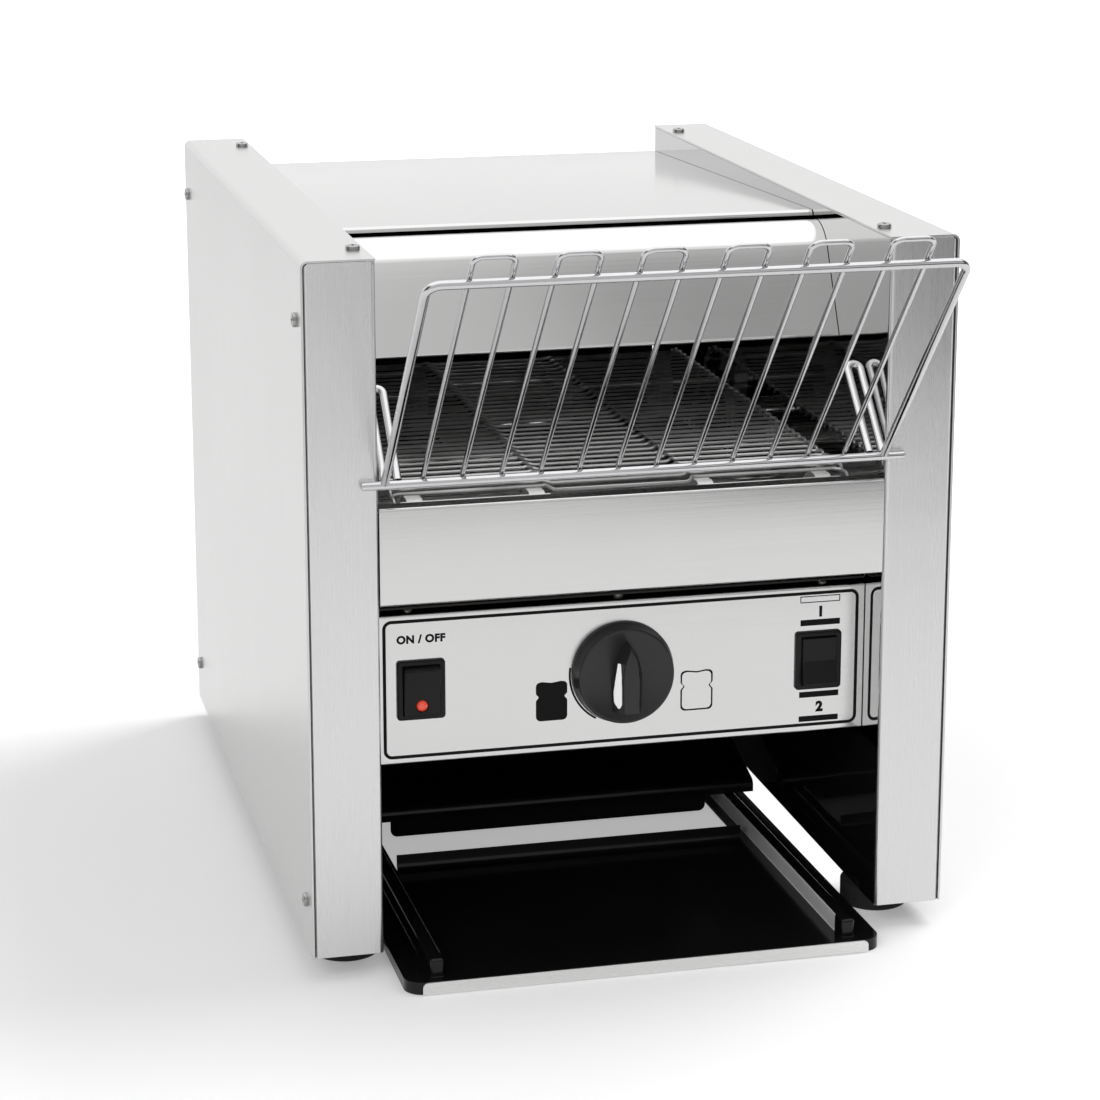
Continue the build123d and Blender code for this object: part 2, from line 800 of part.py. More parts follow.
def rocker(x, down):
    """Rocker paddle, a shallow V at the front, tilted with its lower (or upper) half in."""
    reach = well_height / 2 - rocker_gap
    w = well_width / 2 - rocker_gap
    rise = reach * math.tan(math.radians(rocker_tilt))
    back = Circle(reach) & Pos(reach, 0) * Rectangle(2 * reach, 2 * reach)
    tip = rocker_vertex + rise
    edge = reach - rocker_tip_inset
    front = Polyline((0, -reach), (-tip, -edge), (-rocker_vertex, 0), (-tip, edge), (0, reach), close=True)
    section = make_face(front) + back
    paddle = along_x(section, -w, w)
    turn = rocker_tilt if down else -rocker_tilt
    pivot_y = bezel_front + rocker_pivot_depth
    return Pos(x, pivot_y, switch_z) * Rot(turn, 0, 0) * paddle


def power_rocker():
    paddle = rocker(-switch_x, True)
    return paddle - power_lamp(press_gap)


def power_lamp(extra=0.0):
    """Round red lens set in the lower half of the power rocker."""
    face = rocker_vertex + lamp_drop * math.tan(math.radians(rocker_tilt))
    lens = rod_y(0, -face - lamp_height + extra, -face + lamp_depth, -lamp_drop, lamp_radius + extra)
    if not extra:
        lens = fillet(lens.edges().group_by(Axis.Y)[0], lamp_round)
    place = Pos(-switch_x, bezel_front + rocker_pivot_depth, switch_z)
    return place * Rot(rocker_tilt, 0, 0) * lens


def grip_outline(width, shrink):
    """Grip seen from the front: square foot, sides closing to a point at the top."""
    half = width / 2
    low, high = -grip_half_length + shrink, grip_half_length - shrink
    bulge = grip_bulge * width / grip_base
    foot_line = Polyline((-half, grip_shoulder), (-half, low), (half, low), (half, grip_shoulder))
    right = SagittaArc((half, grip_shoulder), (0, high), bulge)
    left = SagittaArc((0, high), (-half, grip_shoulder), bulge)
    return make_face(Curve() + [foot_line, right, left])


def control_knob():
    """Round skirt with a tall tapered grip across its face."""
    skirt = Cone(knob_radius, knob_radius - knob_taper, knob_depth)
    skirt = fillet(skirt.edges().group_by(Axis.Z)[-1], knob_round)
    base = Pos(0, 0, knob_depth / 2 - grip_sink) * grip_outline(grip_base, 0)
    top = Pos(0, 0, knob_depth / 2 + grip_height) * grip_outline(grip_top, grip_draw)
    bore = rod_z(0, 0, -knob_depth / 2 - lap, knob_bore - knob_depth / 2, spindle_radius + running_gap)
    knob = skirt + loft([base, top]) - bore
    return Pos(0, (knob_back + knob_front) / 2, knob_z) * Rot(90, 0, 0) * knob


def knob_pointer():
    """White bar set on the left flank of the grip."""
    lean = math.degrees(math.atan2((grip_base - grip_top) / 2, grip_height))
    bar = Pos(0, -pointer_drop, 0) * Box(pointer_thickness, pointer_length, pointer_width)
    bar = fillet(bar.edges().filter_by(Axis.X), pointer_round)
    x = -(grip_base + grip_top) / 4 - pointer_thickness / 2
    place = Pos(x, 0, knob_depth / 2 + grip_height / 2)
    return Pos(0, (knob_back + knob_front) / 2, knob_z) * Rot(90, 0, 0) * place * Rot(0, lean, 0) * bar


def control_spindle():
    y0 = knob_back - knob_bore + wall_gap
    return rod_y(0, y0, plate_back + spindle_reach, knob_z, spindle_radius)


def speed_control():
    """Regulator body behind the plate, with a blind bore for the spindle."""
    y0 = plate_back + seam
    body = box(-control_half_width, control_half_width, y0, y0 + control_depth,
               knob_z - control_low, knob_z + control_high)
    return body - rod_y(0, y0 - lap, plate_back + spindle_reach + lap, knob_z, spindle_radius + running_gap)


def terminal_block():
    """Row of screw terminals on the electrics floor."""
    pad = (block_depth - 2 * terminal_radius) / 2
    length = (terminal_count - 1) * terminal_pitch + 2 * (pad + terminal_radius)
    y = block_rear_y - block_depth / 2
    top = electrics_floor + block_height
    block = box(block_x, block_x + length, y - block_depth / 2, y + block_depth / 2, electrics_floor, top)
    for index in range(terminal_count):
        x = block_x + pad + terminal_radius + index * terminal_pitch
        block += rod_z(x, y, top, top + terminal_rise, terminal_radius)
        block -= rod_z(x, y, top - terminal_rise, top + terminal_rise + lap, terminal_bore)
    return block


def control_board():
    """Circuit board on four pillars, with a relay and a capacitor."""
    x1, y0 = block_x + board_width, board_rear_y - board_depth
    under = electrics_floor + pillar_height
    top = under + board_thickness
    board = box(block_x, x1, y0, board_rear_y, under, top)
    for x in (block_x + pillar_inset, x1 - pillar_inset):
        for y in (y0 + pillar_inset, board_rear_y - pillar_inset):
            board += rod_z(x, y, electrics_floor, under, pillar_radius)
    relay_x, relay_y = block_x + relay_place[0], y0 + relay_place[1]
    half = relay_size / 2
    board += box(relay_x - half, relay_x + half, relay_y - half, relay_y + half, top, top + relay_height)
    x, y = block_x + capacitor_place[0], y0 + capacitor_place[1]
    return board + rod_z(x, y, top, top + capacitor_height, capacitor_radius)


def mains_gland():
    """Cable gland through the rear panel; its bore takes the mains cord."""
    inner, outer = case_depth - sheet, case_depth + gland_flange
    end = case_depth + gland_length
    body = rod_y(gland_x, inner - gland_inside, case_depth, gland_z, gland_neck - running_gap)
    body += rod_y(gland_x, case_depth, outer, gland_z, gland_radius)
    body += rod_y(gland_x, outer, end, gland_z, gland_radius - gland_nose_step)
    body += rod_y(gland_x, inner - gland_nut, inner, gland_z, gland_radius + gland_nut_step)
    return body - rod_y(gland_x, inner - gland_inside - lap, end + lap, gland_z, gland_bore)


def rack_point(share, sideways):
    """Point on the rack's leaning plane: share 0 at the cross rod, 1 at the top rod."""
    y = rack_rod_y + (rack_top_y - rack_rod_y) * share
    z = rack_rod_z + (rack_top_z - rack_rod_z) * share
    return (sideways, y, z)


def rack_cross_rod():
    rod = rod_x(-rack_rod_half, rack_rod_half, rack_rod_y, rack_rod_z, rack_rod_radius)
    return fillet(rod.edges(), rod_end_round)


def rack_slant():
    return math.hypot(rack_top_y - rack_rod_y, rack_top_z - rack_rod_z)


def rack_frame():
    """Frame rod: up one side, across the top and down the other side."""
    start = rack_rod_radius / rack_slant()
    x = rack_leg_x
    points = [rack_point(start, -x), rack_point(1, -x), rack_point(1, x), rack_point(start, x)]
    return bent_wire(points, rack_bend, rack_rod_radius)


def rack_wires():
    """Six looped wires, each two bars joined by a loop past the top rod."""
    slant = rack_slant()
    end = 1 + rack_loop / slant
    pitch = 2 * rack_leg_x / (rack_bars - 1)
    lift = rack_rod_radius + rack_wire_radius
    tilt = math.atan2(rack_top_z - rack_rod_z, rack_rod_y - rack_top_y)
    shift = Pos(0, lift * math.sin(tilt), lift * math.cos(tilt))
    wires = []
    for pair in range(rack_bars // 2 - 1):
        x0 = -rack_leg_x + pitch * (2 * pair + 1)
        x1 = x0 + pitch
        points = [rack_point(0, x0), rack_point(end, x0), rack_point(end, x1), rack_point(0, x1)]
        wires.append(shift * bent_wire(points, rack_loop_bend, rack_wire_radius))
    return wires


def rack_leg():
    """Right hand hairpin leg from the cross rod, back and up along the inner wall."""
    step = (rack_rod_radius + seam) * math.sqrt(0.5)
    y0, z0 = rack_rod_y + step, rack_rod_z + step
    y1, z1 = rack_rod_y + rack_leg_rise, rack_rod_z + rack_leg_rise
    inner = rack_leg_x - rack_leg_spread
    points = [(rack_leg_x, y0, z0), (rack_leg_x, y1, z1), (inner, y1, z1), (inner, y0, z0)]
    return bent_wire(points, rack_leg_spread / 2 - running_gap, rack_rod_radius)


def tray_place():
    """Rest position: front edge lifted by the lip, rear ends of the arms down on the counter."""
    return Pos(0, tray_front_y + sheet, tray_floor_gap) * Rot(-math.degrees(tray_tilt), 0, 0)


def tray_plan(inset):
    """Plan of the tray inside its edge by inset, its front corners rounded."""
    plan = Pos(0, inset + tray_arm_length / 2) * Rectangle(2 * (tray_half_width - inset), tray_arm_length)
    return fillet(plan.vertices().group_by(Axis.Y)[0], tray_corner - inset)


def tray_rail():
    """Right hand rail, a hollow rib with a rounded front end."""
    x0, x1 = tray_rail_x, tray_rail_x + tray_rail_width
    low, high = tray_lip - sheet, tray_lip + tray_rail_height
    rail = box(x0, x1, tray_rail_start, tray_arm_length, low, high)
    kept = rail.faces().sort_by(Axis.Y)[-1].edges() + rail.faces().sort_by(Axis.Z)[0].edges()
    rail = fillet([edge for edge in rail.edges() if edge not in kept], fold_radius)
    return rail - tray_rail_hollow()


def tray_rail_hollow():
    start, high = tray_rail_start + sheet, tray_lip + tray_rail_height - sheet
    return box(tray_rail_x + sheet, tray_rail_x + tray_rail_width - sheet, start, tray_arm_length + lap, 0, high)


def toast_tray():
    """One sheet: floor with a skirt and turned up rear edge, and ribbed arms that run on under the chute."""
    mid = sheet / 2
    low = tray_lip - sheet
    arm = tray_rail_x - tray_arm_width
    rear = tray_floor_length
    tray = along_z(tray_plan(0), 0, tray_lip) - along_z(tray_plan(sheet), 0, low)
    tray -= box(-arm, arm, rear - tray_rear_bend, tray_arm_length + lap, 0, tray_lip + lap)
    points = [(rear - 2 * tray_rear_bend, low + mid), (rear, low + mid), (rear, tray_lip + tray_rear_lip)]
    tray += along_x(folded(points, tray_rear_bend), -arm, arm)
    for hollow, rail in zip(both_sides(tray_rail_hollow()), both_sides(tray_rail())):
        tray = tray - hollow + rail
    span = case_width
    return tray_place() * tray - box(-span, span, tray_front_y, span, -tray_lip, tray_floor_gap)


def tray_lip_strip():
    """Bright strip across the tray's front edge, its upper corners rounded."""
    strip = Pos(0, tray_lip / 2) * Rectangle(2 * tray_lip_half_width, tray_lip)
    strip = fillet(strip.vertices().group_by(Axis.Y)[-1], tray_lip_corner)
    return tray_place() * along_y(strip, -sheet, 0)


def build():
    """Every node by name, as a list of solids."""
    cover = side_cover()
    upper = [(y, upper_tube_z) for y in upper_tube_ys]
    lower = [(y, shaft_z) for y in lower_tube_ys]
    nodes = {
        "right_side_cover": [cover],
        "left_side_cover": [mirror(cover, about=Plane.YZ)],
        "right_inner_frame": [inner_frame(1)],
        "left_inner_frame": [inner_frame(-1)],
        "front_fascia": [front_fascia()],
        "control_panel": [control_panel()],
        "front_rail": [front_rail()],
        "hood": [hood()],
        "top_cover": [top_cover()],
        "rear_panel": [rear_panel()],
        "upper_reflector": [upper_reflector()],
        "heat_shield": [heat_shield()],
        "electrics_tray": [electrics_tray()],
        "toast_chute": [toast_chute()],
        "toast_deflector": [toast_deflector()],
        "front_shaft": [shaft(front_shaft_y, wall_outer + bush_length + shaft_overhang)],
        "drive_shaft": [shaft(rear_shaft_y, shaft_end)],
        "front_sprockets": sprocket_row(front_shaft_y),
        "drive_sprockets": sprocket_row(rear_shaft_y),
        "shaft_bushes": both_sides(bush(front_shaft_y)) + both_sides(bush(rear_shaft_y)),
        "conveyor_belt": conveyor_belt(),
        "chain_sprocket": [chain_sprocket(rear_shaft_y, shaft_z, drive_pitch_radius, shaft_radius,
                                          drive_teeth)],
        "motor_sprocket": [chain_sprocket(motor_y, motor_z, motor_pitch_radius, motor_shaft_radius,
                                          motor_teeth)],
        "drive_chain": [drive_chain()],
        "gearbox": [gearbox()],
        "motor_can": [motor_can()],
        "motor_shaft": [motor_shaft()],
        "upper_heating_tubes": [heating_tube(y, z) for y, z in upper],
        "lower_heating_tubes": [heating_tube(y, z) for y, z in lower],
        "tube_ceramics": [end for y, z in tube_places() for end in both_sides(ceramic_end(y, z))],
        "power_switch_housing": [switch_housing(-switch_x)],
        "power_rocker": [power_rocker()],
        "power_lamp": [power_lamp()],
        "selector_switch_housing": [switch_housing(switch_x)],
        "selector_rocker": [rocker(switch_x, False)],
        "control_knob": [control_knob()],
        "knob_pointer": [knob_pointer()],
        "control_spindle": [control_spindle()],
        "speed_control": [speed_control()],
        "terminal_block": [terminal_block()],
        "control_board": [control_board()],
        "mains_gland": [mains_gland()],
        "rack_cross_rod": [rack_cross_rod()],
        "rack_frame": [rack_frame()],
        "rack_wires": rack_wires(),
        "rack_legs": both_sides(rack_leg()),
        "toast_tray": [toast_tray()],
        "tray_lip": [tray_lip_strip()],
        "top_screws": screws_at(top_screw_places(), Rot(0, 0, 0)),
        "side_screws": screws_at(side_screw_places(1), Rot(0, 90, 0))
        + screws_at(side_screw_places(-1), Rot(0, -90, 0)),
        "plate_screws": screws_at(plate_screw_places(), Rot(0, 0, 0)),
        "rear_screws": screws_at([(x, y + sheet + seam, z) for x, y, z in rear_screw_places()],
                                 Rot(-90, 0, 0)),
        "motor_screws": screws_at(motor_screw_places(), Rot(0, 90, 0)),
        "foot_screws": foot_screws(),
    }
    names = ("foot_right_front", "foot_right_rear", "foot_left_front", "foot_left_rear")
    for name, (x, y, _) in zip(names, foot_places()):
        nodes[name] = [foot(x, y)]
    return nodes


def main():
    os.makedirs("parts", exist_ok=True)
    nodes = build()
    for name, pieces in nodes.items():
        nodes[name] = Compound([solid for piece in pieces for solid in piece.solids()])
    bounds = Compound(list(nodes.values())).bounding_box()
    origin_y = (bounds.min.Y + bounds.max.Y) / 2
    print("moved by", round(-origin_y, 4), "bounds", bounds)
    for name, piece in nodes.items():
        export_step(Pos(0, -origin_y, 0) * piece, os.path.join("parts", name + ".step"))


main()
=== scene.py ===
import json
import math

import bmesh
import bpy
from mathutils import Matrix, Vector

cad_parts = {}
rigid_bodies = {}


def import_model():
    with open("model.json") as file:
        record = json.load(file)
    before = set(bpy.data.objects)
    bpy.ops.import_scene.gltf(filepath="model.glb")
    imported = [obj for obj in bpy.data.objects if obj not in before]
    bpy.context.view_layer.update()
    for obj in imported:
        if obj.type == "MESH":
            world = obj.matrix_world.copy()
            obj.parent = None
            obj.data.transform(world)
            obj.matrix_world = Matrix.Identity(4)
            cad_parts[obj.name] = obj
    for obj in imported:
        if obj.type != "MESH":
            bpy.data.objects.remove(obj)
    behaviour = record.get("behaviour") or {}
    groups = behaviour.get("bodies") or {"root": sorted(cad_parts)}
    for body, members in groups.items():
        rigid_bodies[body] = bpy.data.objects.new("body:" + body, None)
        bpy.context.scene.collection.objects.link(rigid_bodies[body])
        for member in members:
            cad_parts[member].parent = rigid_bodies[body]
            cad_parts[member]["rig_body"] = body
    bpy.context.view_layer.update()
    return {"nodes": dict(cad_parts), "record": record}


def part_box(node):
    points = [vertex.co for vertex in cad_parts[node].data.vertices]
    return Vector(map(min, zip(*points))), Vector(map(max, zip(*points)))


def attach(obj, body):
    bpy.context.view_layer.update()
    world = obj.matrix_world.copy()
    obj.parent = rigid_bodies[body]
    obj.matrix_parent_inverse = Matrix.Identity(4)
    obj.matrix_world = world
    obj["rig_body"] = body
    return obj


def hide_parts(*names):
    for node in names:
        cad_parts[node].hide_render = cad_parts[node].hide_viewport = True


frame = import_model()
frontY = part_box("right_inner_frame")[0].y  # the front flanges' face
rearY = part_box("right_inner_frame")[1].y  # the rear flanges' face
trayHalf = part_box("toast_tray")[1].x  # half the tray's width
halfSheet = 0.0006  # half the thickness of the case's sheets
mm = 0.001


def at(x, y, z):
    # millimetres from the case's middle, its front flanges and the counter
    return Vector((x * mm, y * mm + frontY, z * mm))


# finishes: each is a function that fills a material

class Value:  # a node's output that takes part in sums
    def __init__(self, look, socket):
        self.look = look
        self.socket = socket

    def maths(self, operation, first, second):
        return self.look.add("ShaderNodeMath", {"operation": operation}, {0: first, 1: second})

    def __add__(self, other):
        return self.maths("ADD", self, other)

    def __radd__(self, other):
        return self.maths("ADD", other, self)

    def __sub__(self, other):
        return self.maths("SUBTRACT", self, other)

    def __rsub__(self, other):
        return self.maths("SUBTRACT", other, self)

    def __mul__(self, other):
        return self.maths("MULTIPLY", self, other)

    def __rmul__(self, other):
        return self.maths("MULTIPLY", other, self)

    def __gt__(self, other):
        return self.maths("GREATER_THAN", self, other)

    def __lt__(self, other):
        return self.maths("LESS_THAN", self, other)


class Look:  # a material while it is made
    def __init__(self, name, **fixed):
        self.material = bpy.data.materials.new(name)
        self.material.use_nodes = True
        self.tree = self.material.node_tree
        self.shader = self.tree.nodes["Principled BSDF"]
        self.put(**fixed)

    def plug(self, socket, value):
        if isinstance(value, Value):
            self.tree.links.new(value.socket, socket)
        elif socket.type == "RGBA" and not hasattr(value, "__len__"):
            socket.default_value = (value, value, value, 1)
        else:
            socket.default_value = value

    def add(self, kind, settings=None, values=None, output=0):
        node = self.tree.nodes.new(kind)
        for key, value in (settings or {}).items():
            if key == "stops":
                ramp = node.color_ramp.elements
                while len(ramp) < len(value):
                    ramp.new(0.5)
                for stop, (place, colour) in zip(ramp, value):
                    stop.position = place
                    stop.color = colour if hasattr(colour, "__len__") else (colour, colour, colour, 1)
            else:
                setattr(node, key, value)
        for key, value in (values or {}).items():
            self.plug(node.inputs[key], value)
        return Value(self, node.outputs[output])

    def put(self, **values):  # baseColor=... sets the socket Base Color
        sockets = {socket.name.replace(" ", "").lower(): socket for socket in self.shader.inputs}
        for key, value in values.items():
            self.plug(sockets[key.lower()], value)

    def here(self):
        return self.add("ShaderNodeTexCoord", output="Object")

    def axis(self, name):
        return self.add("ShaderNodeSeparateXYZ", {}, {0: self.here()}, output=name)

    def noise(self, perMetre, detail=3.0, rough=0.55):
        scale = perMetre if hasattr(perMetre, "__len__") else (perMetre,) * 3
        stretched = self.add("ShaderNodeMapping", {}, {"Vector": self.here(), "Scale": scale})
        return self.add("ShaderNodeTexNoise", {}, {"Vector": stretched, "Scale": 1.0, "Detail": detail,
                                                   "Roughness": rough}, output="Fac")

    def blend(self, factor, first, second):
        return self.add("ShaderNodeMix", {"data_type": "RGBA"}, {0: factor, 6: first, 7: second}, output=2)

    def ramp(self, value, *stops):
        return self.add("ShaderNodeValToRGB", {"stops": stops}, {0: value})

    def size(self, value):  # without its sign
        return self.add("ShaderNodeMath", {"operation": "ABSOLUTE"}, {0: value})

    def rise(self, value, low, high):  # 0 below low, 1 above high
        return self.add("ShaderNodeMapRange", {"interpolation_type": "SMOOTHSTEP"},
                        {"Value": value, "From Min": low, "From Max": high})

    def bump(self, height, depth):
        return self.add("ShaderNodeBump", {}, {"Height": height, "Distance": depth})


grainScale = {"X": (6, 900, 900), "Z": (900, 900, 6)}  # brushed lines run along the named axis


def sheetSteel(name, grain, tone, rough, contrast=0.05, depth=0.00002, insideY=None):
    # satin stainless: fine lines along one axis over slow changes in the sheet's shine; in front of the
    # given y, where the rear panel faces the inside of the case, it is painted dark: partly heat tint,
    # partly painted shade
    look = Look(name, metallic=1.0)
    lines = look.noise(grainScale[grain], 4.0, 0.7)
    cloud = look.noise(9.0, 2.0)
    shade = lines * contrast + cloud * (contrast * 0.6) + (1 - contrast * 0.8)
    if insideY is not None:
        shade = shade * (1 - (look.axis("Y") < insideY) * 0.93)
    look.put(baseColor=look.blend(shade, 0.0, (tone, tone, tone * 0.992, 1)),
             roughness=lines * 0.12 + cloud * 0.08 + (rough - 0.1),
             normal=look.bump(lines, depth))
    return look


innerWall = {"flangeDepth": 0.0019, "blackBelow": 0.101, "steel": 0.7, "black": 0.006, "wallDrop": 0.2,
             "wave": 0.0004}  # depths and heights in metres


def innerWallSteel(name):
    # the flanges are satin, the walls behind them are a fifth darker and mirror the belt, and round the tray
    # they are black as painted shade
    look = Look(name, metallic=1.0)
    lines = look.noise(grainScale["Z"], 4.0, 0.7)
    cloud = look.noise(9.0, 2.0)
    along = look.axis("Y")
    behind = (along > frontY + innerWall["flangeDepth"]) * (along < rearY - halfSheet)
    # painted shade: behind the flanges and below the control plate the walls are black
    black = behind * (look.axis("Z") < innerWall["blackBelow"])
    shade = (lines * 0.05 + cloud * 0.03 + 0.95) * (1 - behind * innerWall["wallDrop"])
    steel = look.blend(shade, 0.0, innerWall["steel"])
    look.put(baseColor=look.blend(black, steel, innerWall["black"]), metallic=1 - black,
             roughness=behind * (cloud * 0.03 - 0.22 - lines * 0.06) + (0.24 + lines * 0.08),
             normal=look.bump(look.noise(14.0, 1.0), innerWall["wave"]))
    return look


def darkSheet(name, tone, tint, rough):
    # sheet steel that heat has browned and dulled in clouds
    look = Look(name, metallic=1.0)
    cloud = look.noise(22.0, 4.0, 0.6)
    lines = look.noise(grainScale["X"], 3.0)
    look.put(baseColor=look.blend(cloud, (tone, tone, tone, 1), tint),
             roughness=cloud * 0.25 + lines * 0.1 + (rough - 0.17),
             normal=look.bump(lines, 0.00002))
    return look


def enamel(name, tone, rough):
    # baked black enamel: glossy, slightly uneven, with a little dust
    look = Look(name, ior=1.36)
    peel = look.noise(420.0, 2.0)
    cloud = look.noise(16.0, 3.0)
    look.put(baseColor=look.blend(cloud, tone * 0.7, tone * 1.3),
             roughness=cloud * 0.1 + (rough - 0.05),
             normal=look.bump(peel, 0.00001))
    return look


# the rails' pale strip is a painted reflection; its tones are the ones listed as steel
trayRail = {"inset": (0.0213, 0.0203), "front": 0.013, "enamel": (0.004, 0.008), "steel": (0.62, 0.74)}


def trayEnamel():
    # black enamel, with a pale strip on the inner faces of the two rails: a painted reflection of the bright
    # floor beside the tray
    look = Look("trayEnamel", ior=1.36)
    peel = look.noise(420.0, 2.0)
    cloud = look.noise(16.0, 3.0)
    across = look.size(look.axis("X"))
    inner, outer = trayHalf - trayRail["inset"][0], trayHalf - trayRail["inset"][1]
    reflectionStrip = (across > inner) * (across < outer) * (look.axis("Y") > frontY - trayRail["front"])
    enamelled, steel = look.blend(cloud, *trayRail["enamel"]), look.blend(cloud, *trayRail["steel"])
    look.put(baseColor=look.blend(reflectionStrip, enamelled, steel), roughness=reflectionStrip * 0.4 + cloud * 0.1 + 0.09,
             normal=look.bump(peel, 0.00001))
    return look


def moulded(name, tone, rough, grain=1400.0, depth=0.000015, shine=0.5):
    # moulded plastic with a fine spark texture
    look = Look(name, specularIorLevel=shine)
    spark = look.noise(grain, 2.0)
    cloud = look.noise(40.0, 2.0)
    low = tuple(part * 0.85 for part in tone) + (1,)
    look.put(baseColor=look.blend(cloud, low, tuple(tone) + (1,)),
             roughness=cloud * 0.08 + spark * 0.08 + (rough - 0.08),
             normal=look.bump(spark, depth))
    return look


def plainMetal(name, colour, rough, grain=600.0, depth=0.00001, contrast=0.12):
    # turned, cast or plated metal
    look = Look(name, metallic=1.0)
    spots = look.noise(grain, 3.0)
    cloud = look.noise(60.0, 2.0)
    low = tuple(part * (1 - contrast) for part in colour) + (1,)
    look.put(baseColor=look.blend(spots, low, tuple(colour) + (1,)),
             roughness=cloud * 0.1 + spots * 0.08 + (rough - 0.09),
             normal=look.bump(spots, depth))
    return look


def beltSteel():
    # stainless wire dulled a little by the heat, brighter where it rubs
    look = Look("beltSteel", metallic=0.55)
    cloud = look.noise(35.0, 3.0)
    spots = look.noise(900.0, 2.0)
    colour = look.ramp(cloud, (0.3, (0.42, 0.42, 0.415, 1)), (0.5, (0.58, 0.58, 0.575, 1)),
                       (0.72, (0.7, 0.7, 0.7, 1)))
    look.put(baseColor=colour, roughness=spots * 0.15 + (cloud * 0.1 + 0.24),
             normal=look.bump(spots, 0.00001))
    return look


def quartzGlass():
    # milky quartz, a little cloudy towards its ends
    look = Look("quartzGlass", transmissionWeight=1.0, ior=1.46)
    cloud = look.noise((30.0, 90.0, 90.0), 2.0)
    ends = look.noise(200.0, 2.0)
    look.put(baseColor=look.blend(cloud, (0.93, 0.9, 0.86, 1), 0.97), roughness=cloud * 0.12 + ends * 0.05)
    return look


def lampRed():
    look = Look("lampRed", coatWeight=1.0, coatRoughness=0.05, emissionStrength=0.3)
    facets = look.noise(900.0, 1.0)
    look.put(baseColor=look.blend(facets, (0.6, 0.02, 0.01, 1), (0.8, 0.05, 0.02, 1)),
             emissionColor=look.blend(facets, (0.9, 0.05, 0.02, 1), (1.0, 0.16, 0.06, 1)),
             roughness=facets * 0.1 + 0.12)
    return look


def rubberBlack():
    look = Look("rubberBlack", specularIorLevel=0.3)
    dust = look.noise(70.0, 4.0, 0.7)
    pores = look.noise(1600.0, 2.0)
    look.put(baseColor=look.blend(dust, 0.012, 0.035), roughness=dust * 0.2 + 0.6,
             normal=look.bump(pores, 0.00003))
    return look


def ceramicWhite():
    look = Look("ceramicWhite", subsurfaceWeight=0.05)
    pits = look.noise(1200.0, 3.0)
    soot = look.noise(60.0, 4.0, 0.7)
    look.put(baseColor=look.blend(soot, (0.55, 0.5, 0.42, 1), (0.84, 0.82, 0.77, 1)),
             roughness=pits * 0.2 + 0.5, normal=look.bump(pits, 0.00004))
    return look


def boardGreen():
    # solder mask over tracks that show as slightly raised lines
    look = Look("boardGreen", coatWeight=0.4)
    tracks = look.add("ShaderNodeTexBrick", {}, {"Vector": look.here(), "Scale": 160.0, "Mortar Size": 0.03,
                                                 "Color1": 0.0, "Color2": 0.1, "Mortar": 1.0}, output="Fac")
    cloud = look.noise(50.0, 2.0)
    look.put(baseColor=look.blend(tracks, (0.02, 0.13, 0.05, 1), (0.05, 0.24, 0.1, 1)),
             roughness=cloud * 0.15 + 0.3, normal=look.bump(tracks, 0.00003))
    return look


def printInk():
    look = Look("printInk", specularIorLevel=0.1)
    edge = look.noise(2500.0, 2.0)
    look.put(baseColor=look.blend(edge, 0.004, 0.01), roughness=edge * 0.1 + 0.45)
    return look


looks = {
    "case_steel": sheetSteel("satinSteel", "Z", 0.66, 0.3),
    "polished_steel": innerWallSteel("wallSteel"),
    "wire_steel": beltSteel(),
    "rod_chrome": plainMetal("rodChrome", (0.64, 0.64, 0.65), 0.1, 300.0, 0.000004, 0.08),
    "black_enamel": enamel("blackEnamel", 0.006, 0.14),
    "black_gloss": moulded("switchBlack", (0.008, 0.008, 0.0083), 0.34, shine=0.22),
    "black_knob": moulded("knobBlack", (0.019, 0.019, 0.0195), 0.3, 1100.0, shine=0.4),
    "white_mark": moulded("pointerWhite", (0.92, 0.92, 0.91), 0.4),
    "red_lens": lampRed(),
    "quartz": quartzGlass(),
    "ceramic": ceramicWhite(),
    "plated_steel": darkSheet("platedSteel", 0.34, (0.46, 0.45, 0.42, 1), 0.42),
    "gear_alloy": plainMetal("castAlloy", (0.5, 0.5, 0.51), 0.5, 700.0, 0.00006, 0.25),
    "motor_paint": enamel("motorPaint", 0.03, 0.4),
    "shaft_steel": plainMetal("shaftSteel", (0.6, 0.6, 0.6), 0.22, 500.0),
    "bearing_bronze": plainMetal("bushBronze", (0.5, 0.31, 0.13), 0.38, 500.0),
    "screw_steel": plainMetal("screwSteel", (0.4, 0.4, 0.395), 0.2, 900.0),
    "board_green": boardGreen(),
    "block_white": moulded("blockWhite", (0.75, 0.74, 0.7), 0.5),
    "foot_rubber": rubberBlack(),
}
fasciaSteel = sheetSteel("fasciaSteel", "X", 0.66, 0.2, 0.03, 0.000012)
hoodSteel = sheetSteel("hoodSteel", "X", 0.7, 0.14, 0.02, 0.000006)
coverSteel = sheetSteel("coverSteel", "X", 0.65, 0.16, 0.02, 0.000006)
# the rear panel's inside is painted dark: partly heat tint, partly painted shade
rearSteel = sheetSteel("rearSteel", "Z", 0.66, 0.3, insideY=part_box("rear_panel")[1].y - halfSheet)
lipSteel = sheetSteel("lipSteel", "X", 0.78, 0.28)
# the upper reflector and heat shield are near black: partly heat tint, partly painted shade inside the
# tunnel
heatDarkened = darkSheet("heatDarkened", 0.02, (0.045, 0.04, 0.037, 1), 0.5)
sprocketSteel = plainMetal("sprocketSteel", (0.86, 0.86, 0.85), 0.5, 500.0, 0.00002, 0.06)
ink = printInk()
whiteMark = looks["white_mark"]
# the pointer glows a little: painted light that keeps its white bright on the knob's shaded flank
whiteMark.put(emissionColor=whiteMark.blend(whiteMark.noise(300.0), 0.94, 1.0), emissionStrength=0.35)

